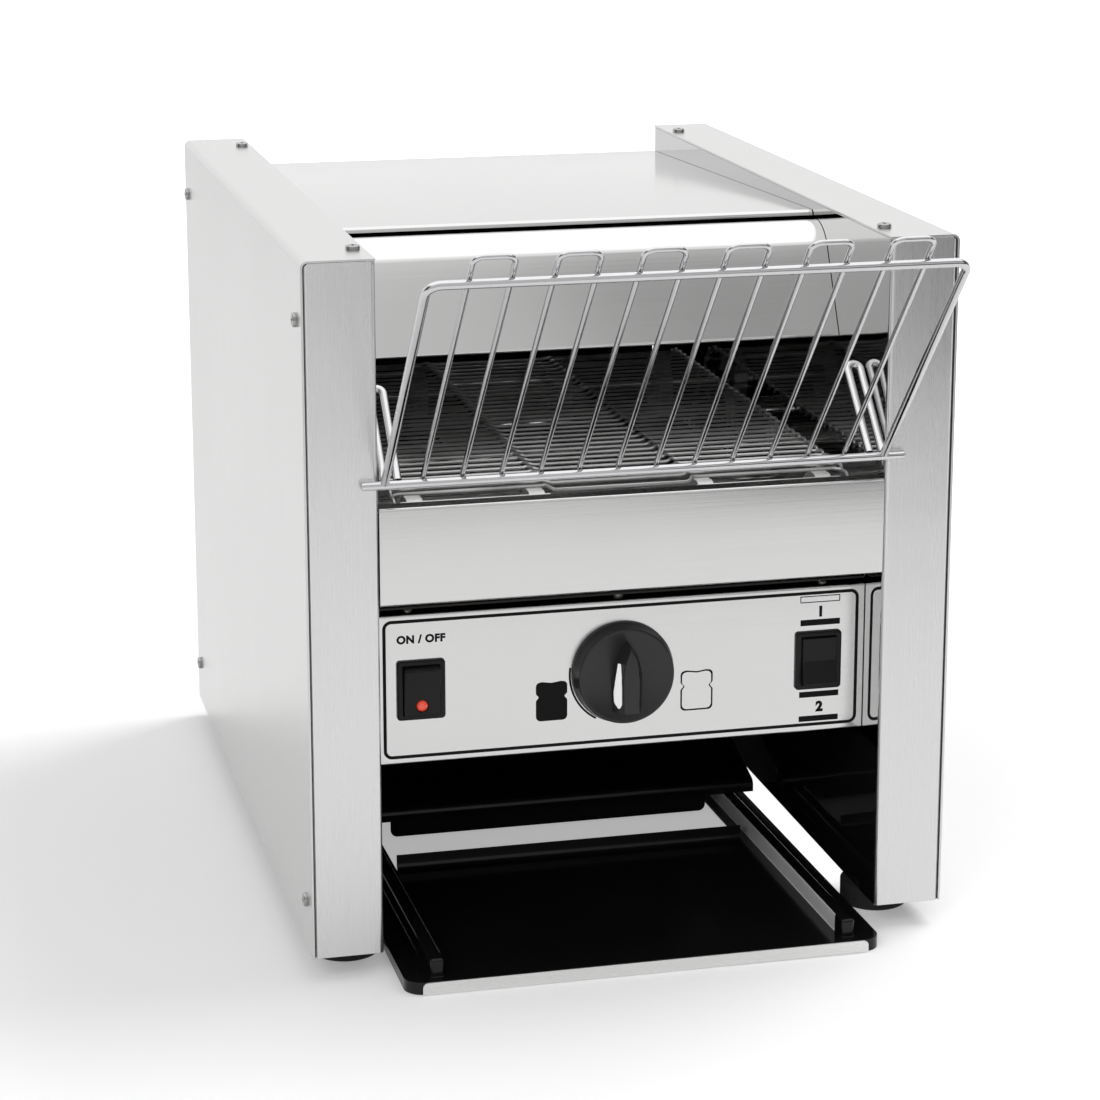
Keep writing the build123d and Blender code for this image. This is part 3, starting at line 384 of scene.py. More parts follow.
slotOf = {part["node"]: part["material_slot"] for part in frame["record"]["subparts"]}
bodyOf = {node: piece["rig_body"] for node, piece in frame["nodes"].items()}
nodeLooks = {"front_fascia": fasciaSteel, "control_panel": fasciaSteel, "hood": hoodSteel,
             "top_cover": coverSteel, "rear_panel": rearSteel, "tray_lip": lipSteel,
             "upper_reflector": heatDarkened, "heat_shield": heatDarkened,
             "front_sprockets": sprocketSteel, "drive_sprockets": sprocketSteel,
             "toast_deflector": looks["black_enamel"], "toast_tray": trayEnamel()}


def lookFor(node):
    return nodeLooks.get(node, looks[slotOf[node]])


for node, piece in frame["nodes"].items():
    piece.data.materials.clear()
    piece.data.materials.append(lookFor(node).material)
print("looks made", len(bpy.data.materials))


# ways to make pieces

upright = Matrix.Rotation(math.radians(90), 4, "X")  # turns a flat shape's y up to z
soft = {"merge": 0.000004, "flat": 0.5, "sharp": 40}  # metres, then degrees


def linked(name, data):
    item = bpy.data.objects.new(name, data)
    bpy.context.scene.collection.objects.link(item)
    return item


def meshFrom(shape, name):
    mesh = bpy.data.meshes.new(name)
    shape.to_mesh(mesh)
    shape.free()
    return mesh


def addPiece(name, mesh, look, body, replaced):
    piece = linked(name, mesh)
    mesh.materials.clear()
    mesh.materials.append(look.material)
    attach(piece, body)
    if replaced:
        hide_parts(*replaced)
    return piece


def smooth(mesh, angle=32):
    mesh.shade_smooth()
    mesh.set_sharp_from_angle(angle=math.radians(angle))


def softCopy(node, name, width, segments, above):
    # the node's own shape with its edges above a height rounded by width millimetres
    shape = bmesh.new()
    shape.from_mesh(frame["nodes"][node].data)
    bmesh.ops.remove_doubles(shape, verts=shape.verts, dist=soft["merge"])
    bmesh.ops.dissolve_limit(shape, angle_limit=math.radians(soft["flat"]), verts=shape.verts,
                             edges=shape.edges)
    weights = shape.edges.layers.float.new("bevel_weight_edge")
    for edge in shape.edges:
        sharp = edge.is_manifold and edge.calc_face_angle() > math.radians(soft["sharp"])
        if sharp and min(end.co.z for end in edge.verts) > above * mm:
            edge[weights] = 1.0
    mesh = meshFrom(shape, name)
    smooth(mesh)
    piece = addPiece(name, mesh, lookFor(node), bodyOf[node], (node,))
    rounding = piece.modifiers.new("edges", "BEVEL")
    rounding.width = width * mm
    rounding.segments = segments
    rounding.limit_method = "WEIGHT"
    rounding.use_clamp_overlap = False
    rounding.harden_normals = True


def cornered(spline, points, bend, closed=False):
    # a Bezier line through the points with each corner turned at radius bend
    count = len(points)
    stations = []
    for index, point in enumerate(points):
        if not closed and index in (0, count - 1):
            stations.append((point, None, None))
            continue
        before = (points[index - 1] - point).normalized()
        after = (points[(index + 1) % count] - point).normalized()
        turn = math.pi - before.angle(after)
        radius = bend[index] if hasattr(bend, "__len__") else bend
        reach = radius * math.tan(turn / 2)
        handle = radius * math.tan(turn / 4) * 4 / 3
        enter, leave = point + before * reach, point + after * reach
        stations.append((enter, None, enter - before * handle))
        stations.append((leave, leave - after * handle, None))
    spline.bezier_points.add(len(stations) - 1)
    spline.use_cyclic_u = closed
    for index, (place, left, right) in enumerate(stations):
        last, following = stations[index - 1][0], stations[(index + 1) % len(stations)][0]
        knot = spline.bezier_points[index]
        knot.co = place
        knot.handle_left_type = knot.handle_right_type = "FREE"
        knot.handle_left = left if left is not None else place + (last - place) / 3
        knot.handle_right = right if right is not None else place + (following - place) / 3


def curveMesh(name, curve):
    holder = linked(name, curve)
    mesh = bpy.data.meshes.new_from_object(holder.evaluated_get(bpy.context.evaluated_depsgraph_get()))
    bpy.data.objects.remove(holder)
    mesh.name = name
    return mesh


def wireMesh(name, runs, radius, bend, rounds, steps):
    # round wires of one radius along several lines
    curve = bpy.data.curves.new(name, "CURVE")
    curve.dimensions = "3D"
    curve.bevel_depth = radius * mm
    curve.bevel_resolution = rounds
    curve.resolution_u = steps
    curve.use_fill_caps = True
    for points in runs:
        cornered(curve.splines.new("BEZIER"), points, bend * mm)
    mesh = curveMesh(name, curve)
    smooth(mesh, 50)
    return mesh


def flatMesh(name, outlines, thick):
    # flat shape in x and z, standing on the plate; outlines inside others are holes
    curve = bpy.data.curves.new(name, "CURVE")
    curve.dimensions = "2D"
    curve.fill_mode = "BOTH"
    curve.extrude = thick * mm / 2
    curve.resolution_u = 8
    for points, bend in outlines:
        flat = [Vector((x * mm, z * mm, 0)) for x, z in points]
        radii = [part * mm for part in bend] if hasattr(bend, "__len__") else bend * mm
        cornered(curve.splines.new("BEZIER"), flat, radii, True)
    mesh = curveMesh(name, curve)
    mesh.transform(upright)
    return mesh


def turned(name, profile, steps):
    # (radius, height) points spun about Z; a first or last radius of 0 closes the pole
    shape = bmesh.new()
    points = [shape.verts.new((radius * mm, 0, height * mm)) for radius, height in profile]
    for first, second in zip(points, points[1:]):
        shape.edges.new((first, second))
    bmesh.ops.spin(shape, geom=shape.verts[:] + shape.edges[:], cent=(0, 0, 0), axis=(0, 0, 1),
                   angle=math.tau, steps=steps, use_merge=True)
    bmesh.ops.remove_doubles(shape, verts=shape.verts, dist=0.000001)
    bmesh.ops.recalc_face_normals(shape, faces=shape.faces)
    mesh = meshFrom(shape, name)
    smooth(mesh)
    return mesh


def copies(name, mesh, places):
    # one mesh with a copy of another at each place
    shape = bmesh.new()
    for place in places:
        old = len(shape.verts)
        shape.from_mesh(mesh)
        shape.verts.ensure_lookup_table()
        bmesh.ops.transform(shape, matrix=place, verts=shape.verts[old:])
    result = meshFrom(shape, name)
    smooth(result, 50)
    return result


# camera, light and floor; these places are in millimetres for the camera and metres for the rest

camera = {"place": (-401.0, -1617.0, 632.3), "turn": 13.802, "down": 13.361, "lens": 100.24,
          "sensor": 36.0, "shift": -0.1}
studio = {
    "sky": 0.45, "floor": 0.8, "floorLift": 0.25, "floorHalf": 6.0, "aim": (0, 0, 0.2),
    "keyPlace": (4.4, 1.5, 6.9), "keySize": 4.0, "keyPower": 360.0,
    "fillPlace": (-5.0, -5.5, 5.5), "fillSize": 5.0, "fillPower": 180.0,
    "gapLight": 1.05, "bandLight": 0.4, "farLight": 0.55,
    "caseFront": (0.03, 0.09), "caseRear": (0.4, 0.43), "caseSide": (0.142, 0.15),
    "traySide": (0.117, 0.123), "away": (0.15, 1.15),
    "cardY": -1.3, "cardHalf": 3.0, "cardThick": 0.01, "cardFade": (1.48, 1.88), "cardTop": 1.1,
    "cards": (("cardLow", 0.0, 0.5, ((0.25, 0.66), (0.45, 0.2), (0.8, 0.06))),
              ("cardMiddle", 0.5, 0.98, 0.66),
              ("cardHigh", 0.98, 1.9, ((0.1, 0.68), (0.3, 0.62), (0.45, 0.38), (0.8, 0.3)))),
    "softboxY": (-1.3, 3.2), "softboxZ": 2.3, "softboxHalf": 2.0, "softboxTone": 1.45,
    "sideX": 2.4, "sideY": (-1.4, 0.5), "sideZ": (0.2, 2.0), "sideTone": 0.1,
}


def addCamera():
    turn, down = math.radians(camera["turn"]), math.radians(camera["down"])
    ahead = Vector((math.sin(turn) * math.cos(down), math.cos(turn) * math.cos(down), -math.sin(down)))
    data = bpy.data.cameras.new("camera")
    data.lens = camera["lens"]
    data.sensor_width = camera["sensor"]
    data.shift_y = camera["shift"]
    eye = linked("camera", data)
    eye.location = [part * mm for part in camera["place"]]
    eye.rotation_euler = ahead.to_track_quat("-Z", "Y").to_euler()
    bpy.context.scene.camera = eye


def seenWhite(tree):
    # 1 where a camera, glossy or transmission ray asks
    rays = tree.nodes.new("ShaderNodeLightPath")
    total = rays.outputs["Is Camera Ray"]
    for name in ("Is Glossy Ray", "Is Transmission Ray"):
        most = tree.nodes.new("ShaderNodeMath")
        most.operation = "MAXIMUM"
        tree.links.new(total, most.inputs[0])
        tree.links.new(rays.outputs[name], most.inputs[1])
        total = most.outputs[0]
    return total


def addSky():
    # white to the eye and in what shines, and dimmer as a light
    world = bpy.data.worlds.new("studio")
    world.use_nodes = True
    bpy.context.scene.world = world
    tree = world.node_tree
    back = tree.nodes["Background"]
    strength = tree.nodes.new("ShaderNodeMapRange")
    strength.inputs["To Min"].default_value = studio["sky"]
    strength.inputs["To Max"].default_value = 1.0
    tree.links.new(seenWhite(tree), strength.inputs["Value"])
    tree.links.new(strength.outputs[0], back.inputs["Strength"])
    back.inputs["Color"].default_value = (1, 1, 1, 1)


def addLight(name, place, size, power):
    data = bpy.data.lights.new(name, "AREA")
    data.size = size
    data.energy = power
    light = linked(name, data)
    light.location = place
    light.rotation_euler = (Vector(studio["aim"]) - Vector(place)).to_track_quat("-Z", "Y").to_euler()
    light.visible_glossy = False  # polished sheets show the pale room, not the lamp


def floorWhite():
    # a plain white floor, brighter to the camera far off; under the case, beside and behind the tray, light
    # is painted on for the camera where the case shades the floor
    look = Look("floorWhite", baseColor=studio["floor"], roughness=0.9, specularIorLevel=0.0,
                emissionStrength=1.0)
    across, along = look.size(look.axis("X")), look.axis("Y") - frontY
    below = (look.rise(along, *studio["caseFront"]) * (1 - look.rise(along, *studio["caseRear"]))
             * (1 - look.rise(across, *studio["caseSide"])))
    beside = look.rise(across, *studio["traySide"])
    distance = look.add("ShaderNodeVectorMath", {"operation": "LENGTH"}, {0: look.here()}, output="Value")
    away = look.rise(distance, *studio["away"])
    # painted light under the case: brightest in the gaps beside the tray, dimmer in the band behind it
    near = below * (beside * studio["gapLight"] + (1 - beside) * studio["bandLight"])
    seen = look.add("ShaderNodeLightPath", output="Is Camera Ray")
    lift = Value(look, seenWhite(look.tree)) * studio["floorLift"] * (1 - below)
    look.put(emissionColor=lift + seen * (near + away * studio["farLight"]))
    return look


def addFloor():
    shape = bmesh.new()
    bmesh.ops.create_grid(shape, x_segments=1, y_segments=1, size=studio["floorHalf"])
    mesh = meshFrom(shape, "floor")
    floor = linked("floor", mesh)
    mesh.materials.append(floorWhite().material)


def addCard(name, corner, far, tone):
    # a flat card from corner to far, seen only in what shines
    low, high = Vector(corner), Vector(far)
    shape = bmesh.new()
    bmesh.ops.create_cube(shape, size=1.0)
    mesh = meshFrom(shape, name)
    mesh.transform(Matrix.Translation((low + high) / 2) @ Matrix.Diagonal((*(high - low), 1)))
    card = linked(name, mesh)
    look = Look(name, baseColor=0.0, roughness=1.0, emissionStrength=1.0)
    if hasattr(tone, "__len__"):  # a ramp across, which grows pale towards the card's top
        fade = look.rise(look.axis("Z"), *studio["cardFade"])
        look.put(emissionColor=look.blend(fade, look.ramp(look.axis("X"), *tone), studio["cardTop"]))
    else:
        look.put(emissionColor=look.blend(look.noise(0.5), tone * 0.97, tone * 1.03))
    mesh.materials.append(look.material)
    for ray in ("camera", "diffuse", "transmission", "shadow", "volume_scatter"):
        setattr(card, "visible_" + ray, False)


def addCards():
    half, thick = studio["cardHalf"], studio["cardThick"]
    for name, low, high, tone in studio["cards"]:
        addCard(name, (-half, studio["cardY"] - thick, low), (half, studio["cardY"], high), tone)
    wide, z = studio["softboxHalf"], studio["softboxZ"]
    front, back = studio["softboxY"]
    addCard("softbox", (-wide, front, z), (wide, back, z + thick), studio["softboxTone"])
    # dark sides draw a line along each flank of the round rods
    (front, back), (low, high) = studio["sideY"], studio["sideZ"]
    for name, x in (("cardLeft", -studio["sideX"]), ("cardRight", studio["sideX"])):
        addCard(name, (x, front, low), (x + thick, back, high), studio["sideTone"])


bpy.context.scene.view_settings.view_transform = "Standard"
addCamera()
addSky()
addLight("key", studio["keyPlace"], studio["keySize"], studio["keyPower"])
addLight("fill", studio["fillPlace"], studio["fillSize"], studio["fillPower"])
addFloor()
addCards()
print("camera and studio set")


# feed rack: y and z pairs, and endRound is how far in from the rod's side and from its end

rack = {"rod": 2.25, "wire": 1.4, "foot": (-2.55, 260.5), "top": (-113.0, 380.5), "side": 130.35,
        "rodEnd": 142.0, "endRound": ((0.9, 0.0), (0.25, 0.3), (0.0, 1.0)), "bend": 7.0, "bars": 14,
        "loop": 15.0, "loopBend": 5.0, "legRise": 40.0, "legSpread": 7.0, "legBend": 3.45, "legGap": 0.1}
rackSlant = math.hypot(rack["top"][0] - rack["foot"][0], rack["top"][1] - rack["foot"][1])


def rackPoint(share, x, lift=0.0):
    (y0, z0), (y1, z1) = rack["foot"], rack["top"]
    up = ((z1 - z0) / rackSlant, (y0 - y1) / rackSlant)  # square to the leaning plane
    return at(x, y0 + (y1 - y0) * share + up[0] * lift, z0 + (z1 - z0) * share + up[1] * lift)


def addRackPiece(name, node, mesh):
    addPiece(name, mesh, looks["rod_chrome"], "feed_rack", (node,))


def addRack():
    y0, z0 = rack["foot"]
    side, rod, wire, end = rack["side"], rack["rod"], rack["wire"], rack["rodEnd"]

    near = [(rod - inward, back - end) for inward, back in rack["endRound"]]
    far = [(rod - inward, end - back) for inward, back in reversed(rack["endRound"])]
    mesh = turned("rackCrossRod", [(0, -end)] + near + far + [(0, end)], 24)
    mesh.transform(Matrix.Translation(at(0, y0, z0)) @ Matrix.Rotation(math.radians(90), 4, "Y"))
    addRackPiece("rackCrossRod", "rack_cross_rod", mesh)

    start = rod / rackSlant
    line = [rackPoint(start, -side), rackPoint(1, -side), rackPoint(1, side), rackPoint(start, side)]
    addRackPiece("rackFrame", "rack_frame", wireMesh("rackFrame", [line], rod, rack["bend"], 4, 10))

    pitch = 2 * side / (rack["bars"] - 1)
    past = 1 + rack["loop"] / rackSlant
    lift = rod + wire
    lines = []
    for pair in range(rack["bars"] // 2 - 1):
        x0 = -side + pitch * (2 * pair + 1)
        x1 = x0 + pitch
        lines.append([rackPoint(0, x0, lift), rackPoint(past, x0, lift), rackPoint(past, x1, lift),
                      rackPoint(0, x1, lift)])
    addRackPiece("rackWires", "rack_wires", wireMesh("rackWires", lines, wire, rack["loopBend"], 3, 10))

    lines = []
    step = (rod + rack["legGap"]) * math.sqrt(0.5)
    for hand in (-1, 1):
        outer, inner = hand * side, hand * (side - rack["legSpread"])
        low, high = (y0 + step, z0 + step), (y0 + rack["legRise"], z0 + rack["legRise"])
        lines.append([at(outer, *low), at(outer, *high), at(inner, *high), at(inner, *low)])
    addRackPiece("rackLegs", "rack_legs", wireMesh("rackLegs", lines, rod, rack["legBend"], 4, 10))


addRack()
print("feed rack made")


# wire belt: strands hooked into each other, lying flat between two rows of sprockets

belt = {"pitch": 10.0, "runs": 31, "teeth": 12, "frontY": 35.0, "shaftZ": 226.5, "half": 121.5,
        "wire": 1.0, "radius": 0.9, "bend": 1.3, "lane": 38.0, "crank": (1.5, 3.5), "crankLift": 0.5,
        "hook": 1.9, "hookRun": 4.0, "hookLift": 0.4}


def strandLine():
    # x across, y along the belt and z outwards; each end hooks over the next strand, and two
    # cranks set the middle half a pitch on
    pitch, lane, hook, lift = belt["pitch"], belt["lane"], belt["hook"], belt["crankLift"]
    near, far = belt["crank"]
    end = belt["half"] - belt["wire"]
    right = [(lane - far, -pitch / 2, 0), (lane - near, -pitch / 2, lift), (lane + near, 0, lift),
             (lane + far, 0, 0), (end - belt["hookRun"], 0, 0), (end, -pitch * 0.25, belt["hookLift"]),
             (end, -pitch * 0.8, hook), (end, -pitch - hook * 0.7, hook * 0.9),
             (end, -pitch - hook, -hook * 0.6), (end, -pitch, -hook)]
    left = [(-x, y, z) for x, y, z in reversed(right)]
    return [Vector((x * mm, y * mm, z * mm)) for x, y, z in left + right]


def addBelt():
    pitch, teeth, runs, shaftZ = belt["pitch"], belt["teeth"], belt["runs"], belt["shaftZ"]
    radius = pitch / (2 * math.sin(math.pi / teeth))
    firstY, lastY = belt["frontY"], belt["frontY"] + runs * pitch
    lead = 180 / teeth  # a strand on a sprocket leans into its turn
    places = []
    for index in range(runs + 1):
        y = firstY + index * pitch
        places.append((y, shaftZ + radius, 90, lead if index == 0 else 0))
        places.append((y, shaftZ - radius, 270, lead if index == runs else 0))
    for index in range(1, teeth // 2):
        for y, start in ((firstY, 90), (lastY, 270)):
            angle = start + index * 360 / teeth
            turn = math.radians(angle)
            places.append((y + radius * math.cos(turn), shaftZ + radius * math.sin(turn), angle, lead))
    turns = [Matrix.Translation(at(0, y, z)) @ Matrix.Rotation(math.radians(angle - 90 + ahead), 4, "X")
             for y, z, angle, ahead in places]
    strand = wireMesh("strand", [strandLine()], belt["radius"], belt["bend"], 1, 2)
    mesh = copies("beltWires", strand, turns)
    addPiece("beltWires", mesh, looks["wire_steel"], "toaster", ("conveyor_belt",))


addBelt()
print("belt made")


# case sheets and other nodes whose edges are only rounded, by this many millimetres

softEdges = {
    "right_side_cover": 0.25, "left_side_cover": 0.25, "right_inner_frame": 0.25, "left_inner_frame": 0.25,
    "front_fascia": 0.2, "control_panel": 0.2, "top_cover": 0.25, "rear_panel": 0.25,
    "toast_chute": 0.3, "toast_tray": 0.3, "tray_lip": 0.25, "heat_shield": 0.2, "front_rail": 0.2,
    "top_screws": 0.12, "side_screws": 0.12, "plate_screws": 0.12, "rear_screws": 0.12,
    "power_switch_housing": 0.3, "selector_switch_housing": 0.3, "power_rocker": 0.5,
    "selector_rocker": 0.5, "front_sprockets": 0.3, "drive_sprockets": 0.3,
    "mains_gland": 0.4,
}
wideEdge = 0.5  # from here on an edge has three segments
sharpBelow = {"toast_tray": 1.0}  # edges under this height stay sharp


def camelName(node):
    first, *rest = node.split("_")
    return first + "".join(word.capitalize() for word in rest)


for node, width in softEdges.items():
    softCopy(node, camelName(node), width, 3 if width >= wideEdge else 2, sharpBelow.get(node, -1.0))
print("rounded copies made", len(softEdges))


# hood over the bread entry

hood = {"lowY": 76.2, "lowZ": 307.2, "lean": 27.0, "topZ": 364.4, "radius": 20.0, "rollSteps": 28,
        "flat": 0.5, "hem": 7.0, "hemBend": 1.5, "hemSteps": 6, "lip": 7.0, "half": 132.6, "sheet": 1.2}


def bendSheet(shape, y, z, radius, steps):
    # rounds the fold that runs across at y and z
    fold = at(0, y, z)
    bends = [edge for edge in shape.edges
             if all(abs(end.co.y - fold.y) < 1e-5 and abs(end.co.z - fold.z) < 1e-5 for end in edge.verts)]
    face = math.pi - bends[0].calc_face_angle(0.0)
    bmesh.ops.bevel(shape, geom=bends, offset=radius * mm / math.tan(face / 2), segments=steps,
                    profile=0.5, affect="EDGES", material=-1, clamp_overlap=False)


def addHood():
    lowY, lowZ, top, half = hood["lowY"], hood["lowZ"], hood["topZ"], hood["half"]
    cornerY = lowY + (top - lowZ) * math.tan(math.radians(hood["lean"]))
    reach = hood["radius"] * math.tan(math.radians(90 - hood["lean"]) / 2)
    rearEdge = cornerY + reach + hood["flat"]
    line = [(lowY + hood["hem"], lowZ), (lowY, lowZ), (cornerY, top), (rearEdge, top),
            (rearEdge, top - hood["lip"])]
    shape = bmesh.new()
    points = [shape.verts.new(at(-half, y, z)) for y, z in line]
    rail = [shape.edges.new(pair) for pair in zip(points, points[1:])]
    out = bmesh.ops.extrude_edge_only(shape, edges=rail)
    made = [item for item in out["geom"] if isinstance(item, bmesh.types.BMVert)]
    bmesh.ops.translate(shape, verts=made, vec=(2 * half * mm, 0, 0))
    shape.edges.ensure_lookup_table()
    bendSheet(shape, lowY, lowZ, hood["hemBend"], hood["hemSteps"])
    bendSheet(shape, cornerY, top, hood["radius"], hood["rollSteps"])
    bmesh.ops.recalc_face_normals(shape, faces=shape.faces)
    bmesh.ops.solidify(shape, geom=shape.faces[:], thickness=hood["sheet"] * mm)
    bmesh.ops.recalc_face_normals(shape, faces=shape.faces)
    mesh = meshFrom(shape, "hood")
    smooth(mesh, 30)
    addPiece("entryHood", mesh, hoodSteel, "toaster", ("hood",))


addHood()
print("hood made")


# printing on the control plate: x and z edges in millimetres

plate = {"y": 26.5, "proud": 0.04, "frame": (-127.0, 129.5, 107.2, 181.6), "line": 1.75, "corner": 4.6,
         "darkSlice": (-38.0, 132.2, 16.8, 21.3), "lightSlice": (40.5, 132.2, 17.6, 22.1), "sliceLine": 0.85,
         "openBar": (97.0, 119.1, 175.5, 179.2), "openLine": 0.5, "openCorner": (0.3, 0.1),
         "barAcross": (97.3, 119.2), "barCorner": 0.2,
         "bars": {"barTop": (162.9, 166.2), "barUnder": (123.2, 126.4), "barLow": (109.8, 112.9)},
         "words": {"labelPower": ("ON / OFF", -106.9, 170.8, 4.1, 0.3),  # x, z, height and weight
                   "labelOne": ("1", 108.4, 170.2, 5.4, 0.45),
                   "labelTwo": ("2", 108.6, 117.6, 5.4, 0.45)},
         "capitals": 1.38, "spacing": 1.08}


def onPlate(x, z):
    return Matrix.Translation(at(x, plate["y"] - plate["proud"] / 2, z))


def rectangle(x0, x1, z0, z1, inset=0.0):
    x0, x1, z0, z1 = x0 + inset, x1 - inset, z0 + inset, z1 - inset
    return [(x0, z0), (x1, z0), (x1, z1), (x0, z1)]


def sliceOutline(x, z, width, height, grow=0.0):
    # a bread slice: wide crown with a dip in the middle, waist, and a body with rounded corners
    w, h = width / 2 + grow, height / 2 + grow
    half = [(0, h * 0.93, 5.0), (w * 0.6, h, 3.0), (w, h * 0.95, 2.3), (w, h * 0.38, 1.6),
            (w * 0.8, h * 0.23, 0.7), (w, h * 0.04, 1.8), (w, -h, 2.6)]
    turns = half + [(-px, pz, bend) for px, pz, bend in reversed(half[1:])]
    return [(x + px, z + pz) for px, pz, bend in turns], [bend for px, pz, bend in turns]


def addInk(name, mesh):
    addPiece(name, mesh, ink, "toaster", ())


def addPrint(name, *outlines):
    mesh = flatMesh(name, outlines, plate["proud"])
    mesh.transform(onPlate(0, 0))
    addInk(name, mesh)


def addWord(name, words, x, z, height, weight):
    data = bpy.data.curves.new(name, "FONT")
    data.body = words
    data.size = height * mm * plate["capitals"]
    data.align_x = "CENTER"
    data.align_y = "CENTER"
    data.offset = weight * mm
    data.space_character = plate["spacing"]
    data.extrude = plate["proud"] * mm / 2
    mesh = curveMesh(name, data)
    mesh.transform(onPlate(x, z) @ upright)
    addInk(name, mesh)


def addPrinting():
    border, line, corner = plate["frame"], plate["line"], plate["corner"]
    dark, light, sliceLine = plate["darkSlice"], plate["lightSlice"], plate["sliceLine"]
    openBar, (outer, inner) = plate["openBar"], plate["openCorner"]
    addPrint("plateFrame", (rectangle(*border), corner), (rectangle(*border, line), corner - line))
    addPrint("sliceDark", sliceOutline(*dark))
    addPrint("sliceLight", sliceOutline(*light), sliceOutline(*light, -sliceLine))
    for name, (low, high) in plate["bars"].items():
        addPrint(name, (rectangle(*plate["barAcross"], low, high), plate["barCorner"]))
    addPrint("barOpen", (rectangle(*openBar), outer), (rectangle(*openBar, plate["openLine"]), inner))
    for name, word in plate["words"].items():
        addWord(name, *word)


addPrinting()
print("printing made")


# timer knob with its white pointer and the printed line beside it, and the power lamp

knob = {"y": 26.0, "z": 145.5, "radius": 27.3, "depth": 9.0, "taper": 1.6, "recess": 0.6,
        "rim": ((1.2, 0.6), (1.0, 0.0), (0.0, 0.0), (0.0, 1.4), (0.35, 1.9)),  # in from the radius, height
        "round": 1.2, "roundFrom": 9, "roundSteps": 5, "dish": ((0.4, 0.0), (0.9, 0.25))}
grip = {"rise": 10.0, "base": 16.4, "top": 8.2, "half": 19.0, "draw": 1.2, "sink": 0.5, "flare": 0.6,
        "foot": 0.93, "shoulder": (0.72, 0.62), "edge": 0.75,
        "bends": (0.9, 0.9, 30.0, 22.0, 0.7, 22.0, 30.0)}
pointer = {"outline": ((0.2, 9.2), (2.0, 9.2), (3.3, -3.0), (3.2, -12.6), (1.2, -15.6), (-3.0, -12.8),
                       (-3.5, -7.5), (-1.6, 1.5)),
           "bends": (0.4, 0.4, 12.0, 2.0, 1.4, 2.4, 6.0, 30.0), "thick": 0.5}
scaleArc = {"radius": 28.3, "line": 1.1, "start": 172, "sweep": 68, "steps": 30}
lamp = {"pivot": (-107.2, 25.3, 144.0), "tilt": 8.0, "drop": 7.6, "front": 4.868, "radius": 2.9, "deep": 2.6,
        "dome": ((0.35, 0.06), (0.66, 0.3), (0.88, 0.72), (0.98, 1.2))}  # share of the radius, depth


def knobPlace():
    # a knob is made with its axis along Z and its top up; this sets it on the plate
    return Matrix.Translation(at(0, knob["y"], knob["z"])) @ upright


def skirtProfile():
    radius, depth, bend, steps = knob["radius"], knob["depth"], knob["round"], knob["roundSteps"]
    face = radius - knob["taper"]
    profile = [(0, knob["recess"])] + [(radius - inward, height) for inward, height in knob["rim"]]
    for step in range(steps + 1):
        angle = math.radians(knob["roundFrom"] + (90 - knob["roundFrom"]) * step / steps)
        profile.append((face - bend * (1 - math.cos(angle)), depth - bend * (1 - math.sin(angle))))
    profile += [(face - bend - inward, depth - drop) for inward, drop in knob["dish"]]
    return profile + [(0, profile[-1][1])]


def gripLine(width, half, height):
    # pointed arch with a square foot, as a loop of edges
    wide = width / 2
    foot, (out, up) = wide * grip["foot"], grip["shoulder"]
    points = [(-foot, -half), (foot, -half), (wide, 0), (wide * out, half * up), (0, half),
              (-wide * out, half * up), (-wide, 0)]
    curve = bpy.data.curves.new("gripLine", "CURVE")
    curve.dimensions = "2D"
    curve.fill_mode = "NONE"
    curve.resolution_u = 6
    cornered(curve.splines.new("BEZIER"), [Vector((x * mm, y * mm, 0)) for x, y in points],
             [part * mm for part in grip["bends"]], True)
    mesh = curveMesh("gripLine", curve)
    mesh.transform(Matrix.Translation((0, 0, height * mm)))
    return mesh


def addKnob():
    depth = knob["depth"]
    shape = bmesh.new()
    shape.from_mesh(turned("knobSkirt", skirtProfile(), 96))
    shape.from_mesh(gripLine(grip["base"] + grip["flare"], grip["half"], depth - grip["sink"]))
    shape.from_mesh(gripLine(grip["top"], grip["half"] - grip["draw"], depth + grip["rise"]))
    rings = [edge for edge in shape.edges if edge.is_wire]
    bmesh.ops.bridge_loops(shape, edges=rings)
    high = [edge for edge in shape.edges
            if edge.is_boundary and min(end.co.z for end in edge.verts) > (depth + grip["rise"] / 2) * mm]
    cap = bmesh.ops.contextual_create(shape, geom=high)["faces"]
    low = [edge for edge in shape.edges if edge.is_boundary]
    bmesh.ops.contextual_create(shape, geom=low)
    bmesh.ops.bevel(shape, geom=list(cap[0].edges), offset=grip["edge"] * mm, segments=4, profile=0.5,
                    affect="EDGES", material=-1, clamp_overlap=False)
    bmesh.ops.recalc_face_normals(shape, faces=shape.faces)
    mesh = meshFrom(shape, "controlKnob")
    mesh.transform(knobPlace())
    smooth(mesh, 38)
    addPiece("controlKnob", mesh, looks["black_knob"], "speed_knob", ("control_knob",))


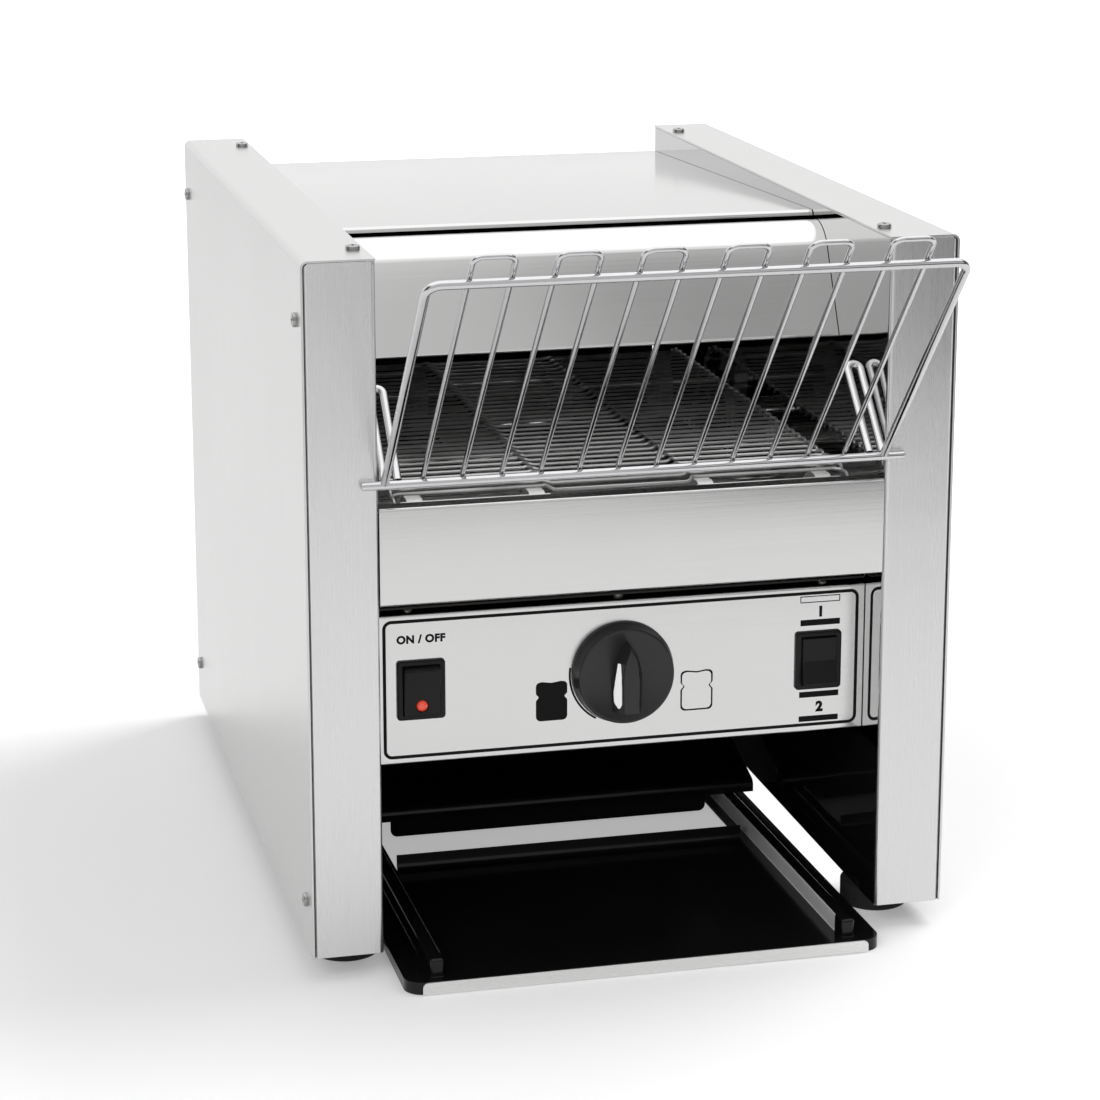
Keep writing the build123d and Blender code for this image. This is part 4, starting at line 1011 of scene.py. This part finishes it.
def addPointer():
    # white drop on the grip's left flank: narrow at the top, wide and round at the foot
    mesh = flatMesh("pointer", [(pointer["outline"], pointer["bends"])], pointer["thick"])
    mesh.transform(Matrix.Rotation(math.radians(-90), 4, "X"))  # flat again: x to the grip's top, y up
    lean = math.atan2((grip["base"] - grip["top"]) / 2, grip["rise"])
    middle = Vector((-(grip["base"] + grip["top"]) / 4, 0, knob["depth"] + grip["rise"] / 2)) * mm
    flank = Matrix.Rotation(-(math.pi / 2 - lean), 4, "Y")
    mesh.transform(knobPlace() @ Matrix.Translation(middle) @ flank)
    addPiece("pointerMark", mesh, whiteMark, "speed_knob", ("knob_pointer",))


def addScaleArc():
    # printed line round the knob's lower left
    shape = bmesh.new()
    radius, half = scaleArc["radius"], scaleArc["line"] / 2
    ends = [shape.verts.new(((radius + side * half) * mm, 0, 0)) for side in (-1, 1)]
    line = shape.edges.new(ends)
    bmesh.ops.spin(shape, geom=ends + [line], cent=(0, 0, 0), axis=(0, 0, 1),
                   angle=math.radians(scaleArc["sweep"]), steps=scaleArc["steps"])
    bmesh.ops.solidify(shape, geom=shape.faces[:], thickness=plate["proud"] * mm)
    bmesh.ops.recalc_face_normals(shape, faces=shape.faces)
    mesh = meshFrom(shape, "scaleArc")
    mesh.transform(onPlate(0, knob["z"]) @ upright
                   @ Matrix.Rotation(math.radians(scaleArc["start"]), 4, "Z"))
    addInk("scaleArc", mesh)


def addLamp():
    radius, deep = lamp["radius"], lamp["deep"]
    dome = [(radius * share, -depth) for share, depth in lamp["dome"]]
    mesh = turned("lampLens", [(0, 0)] + dome + [(radius, -deep), (0, -deep)], 32)
    tilt = Matrix.Rotation(math.radians(lamp["tilt"]), 4, "X")
    local = Vector((0, -lamp["front"] * mm, -lamp["drop"] * mm))
    mesh.transform(Matrix.Translation(at(*lamp["pivot"])) @ tilt @ Matrix.Translation(local) @ upright)
    addPiece("lampLens", mesh, looks["red_lens"], "power_rocker", ("power_lamp",))


addKnob()
addPointer()
addScaleArc()
addLamp()
print("knob and lamp made")
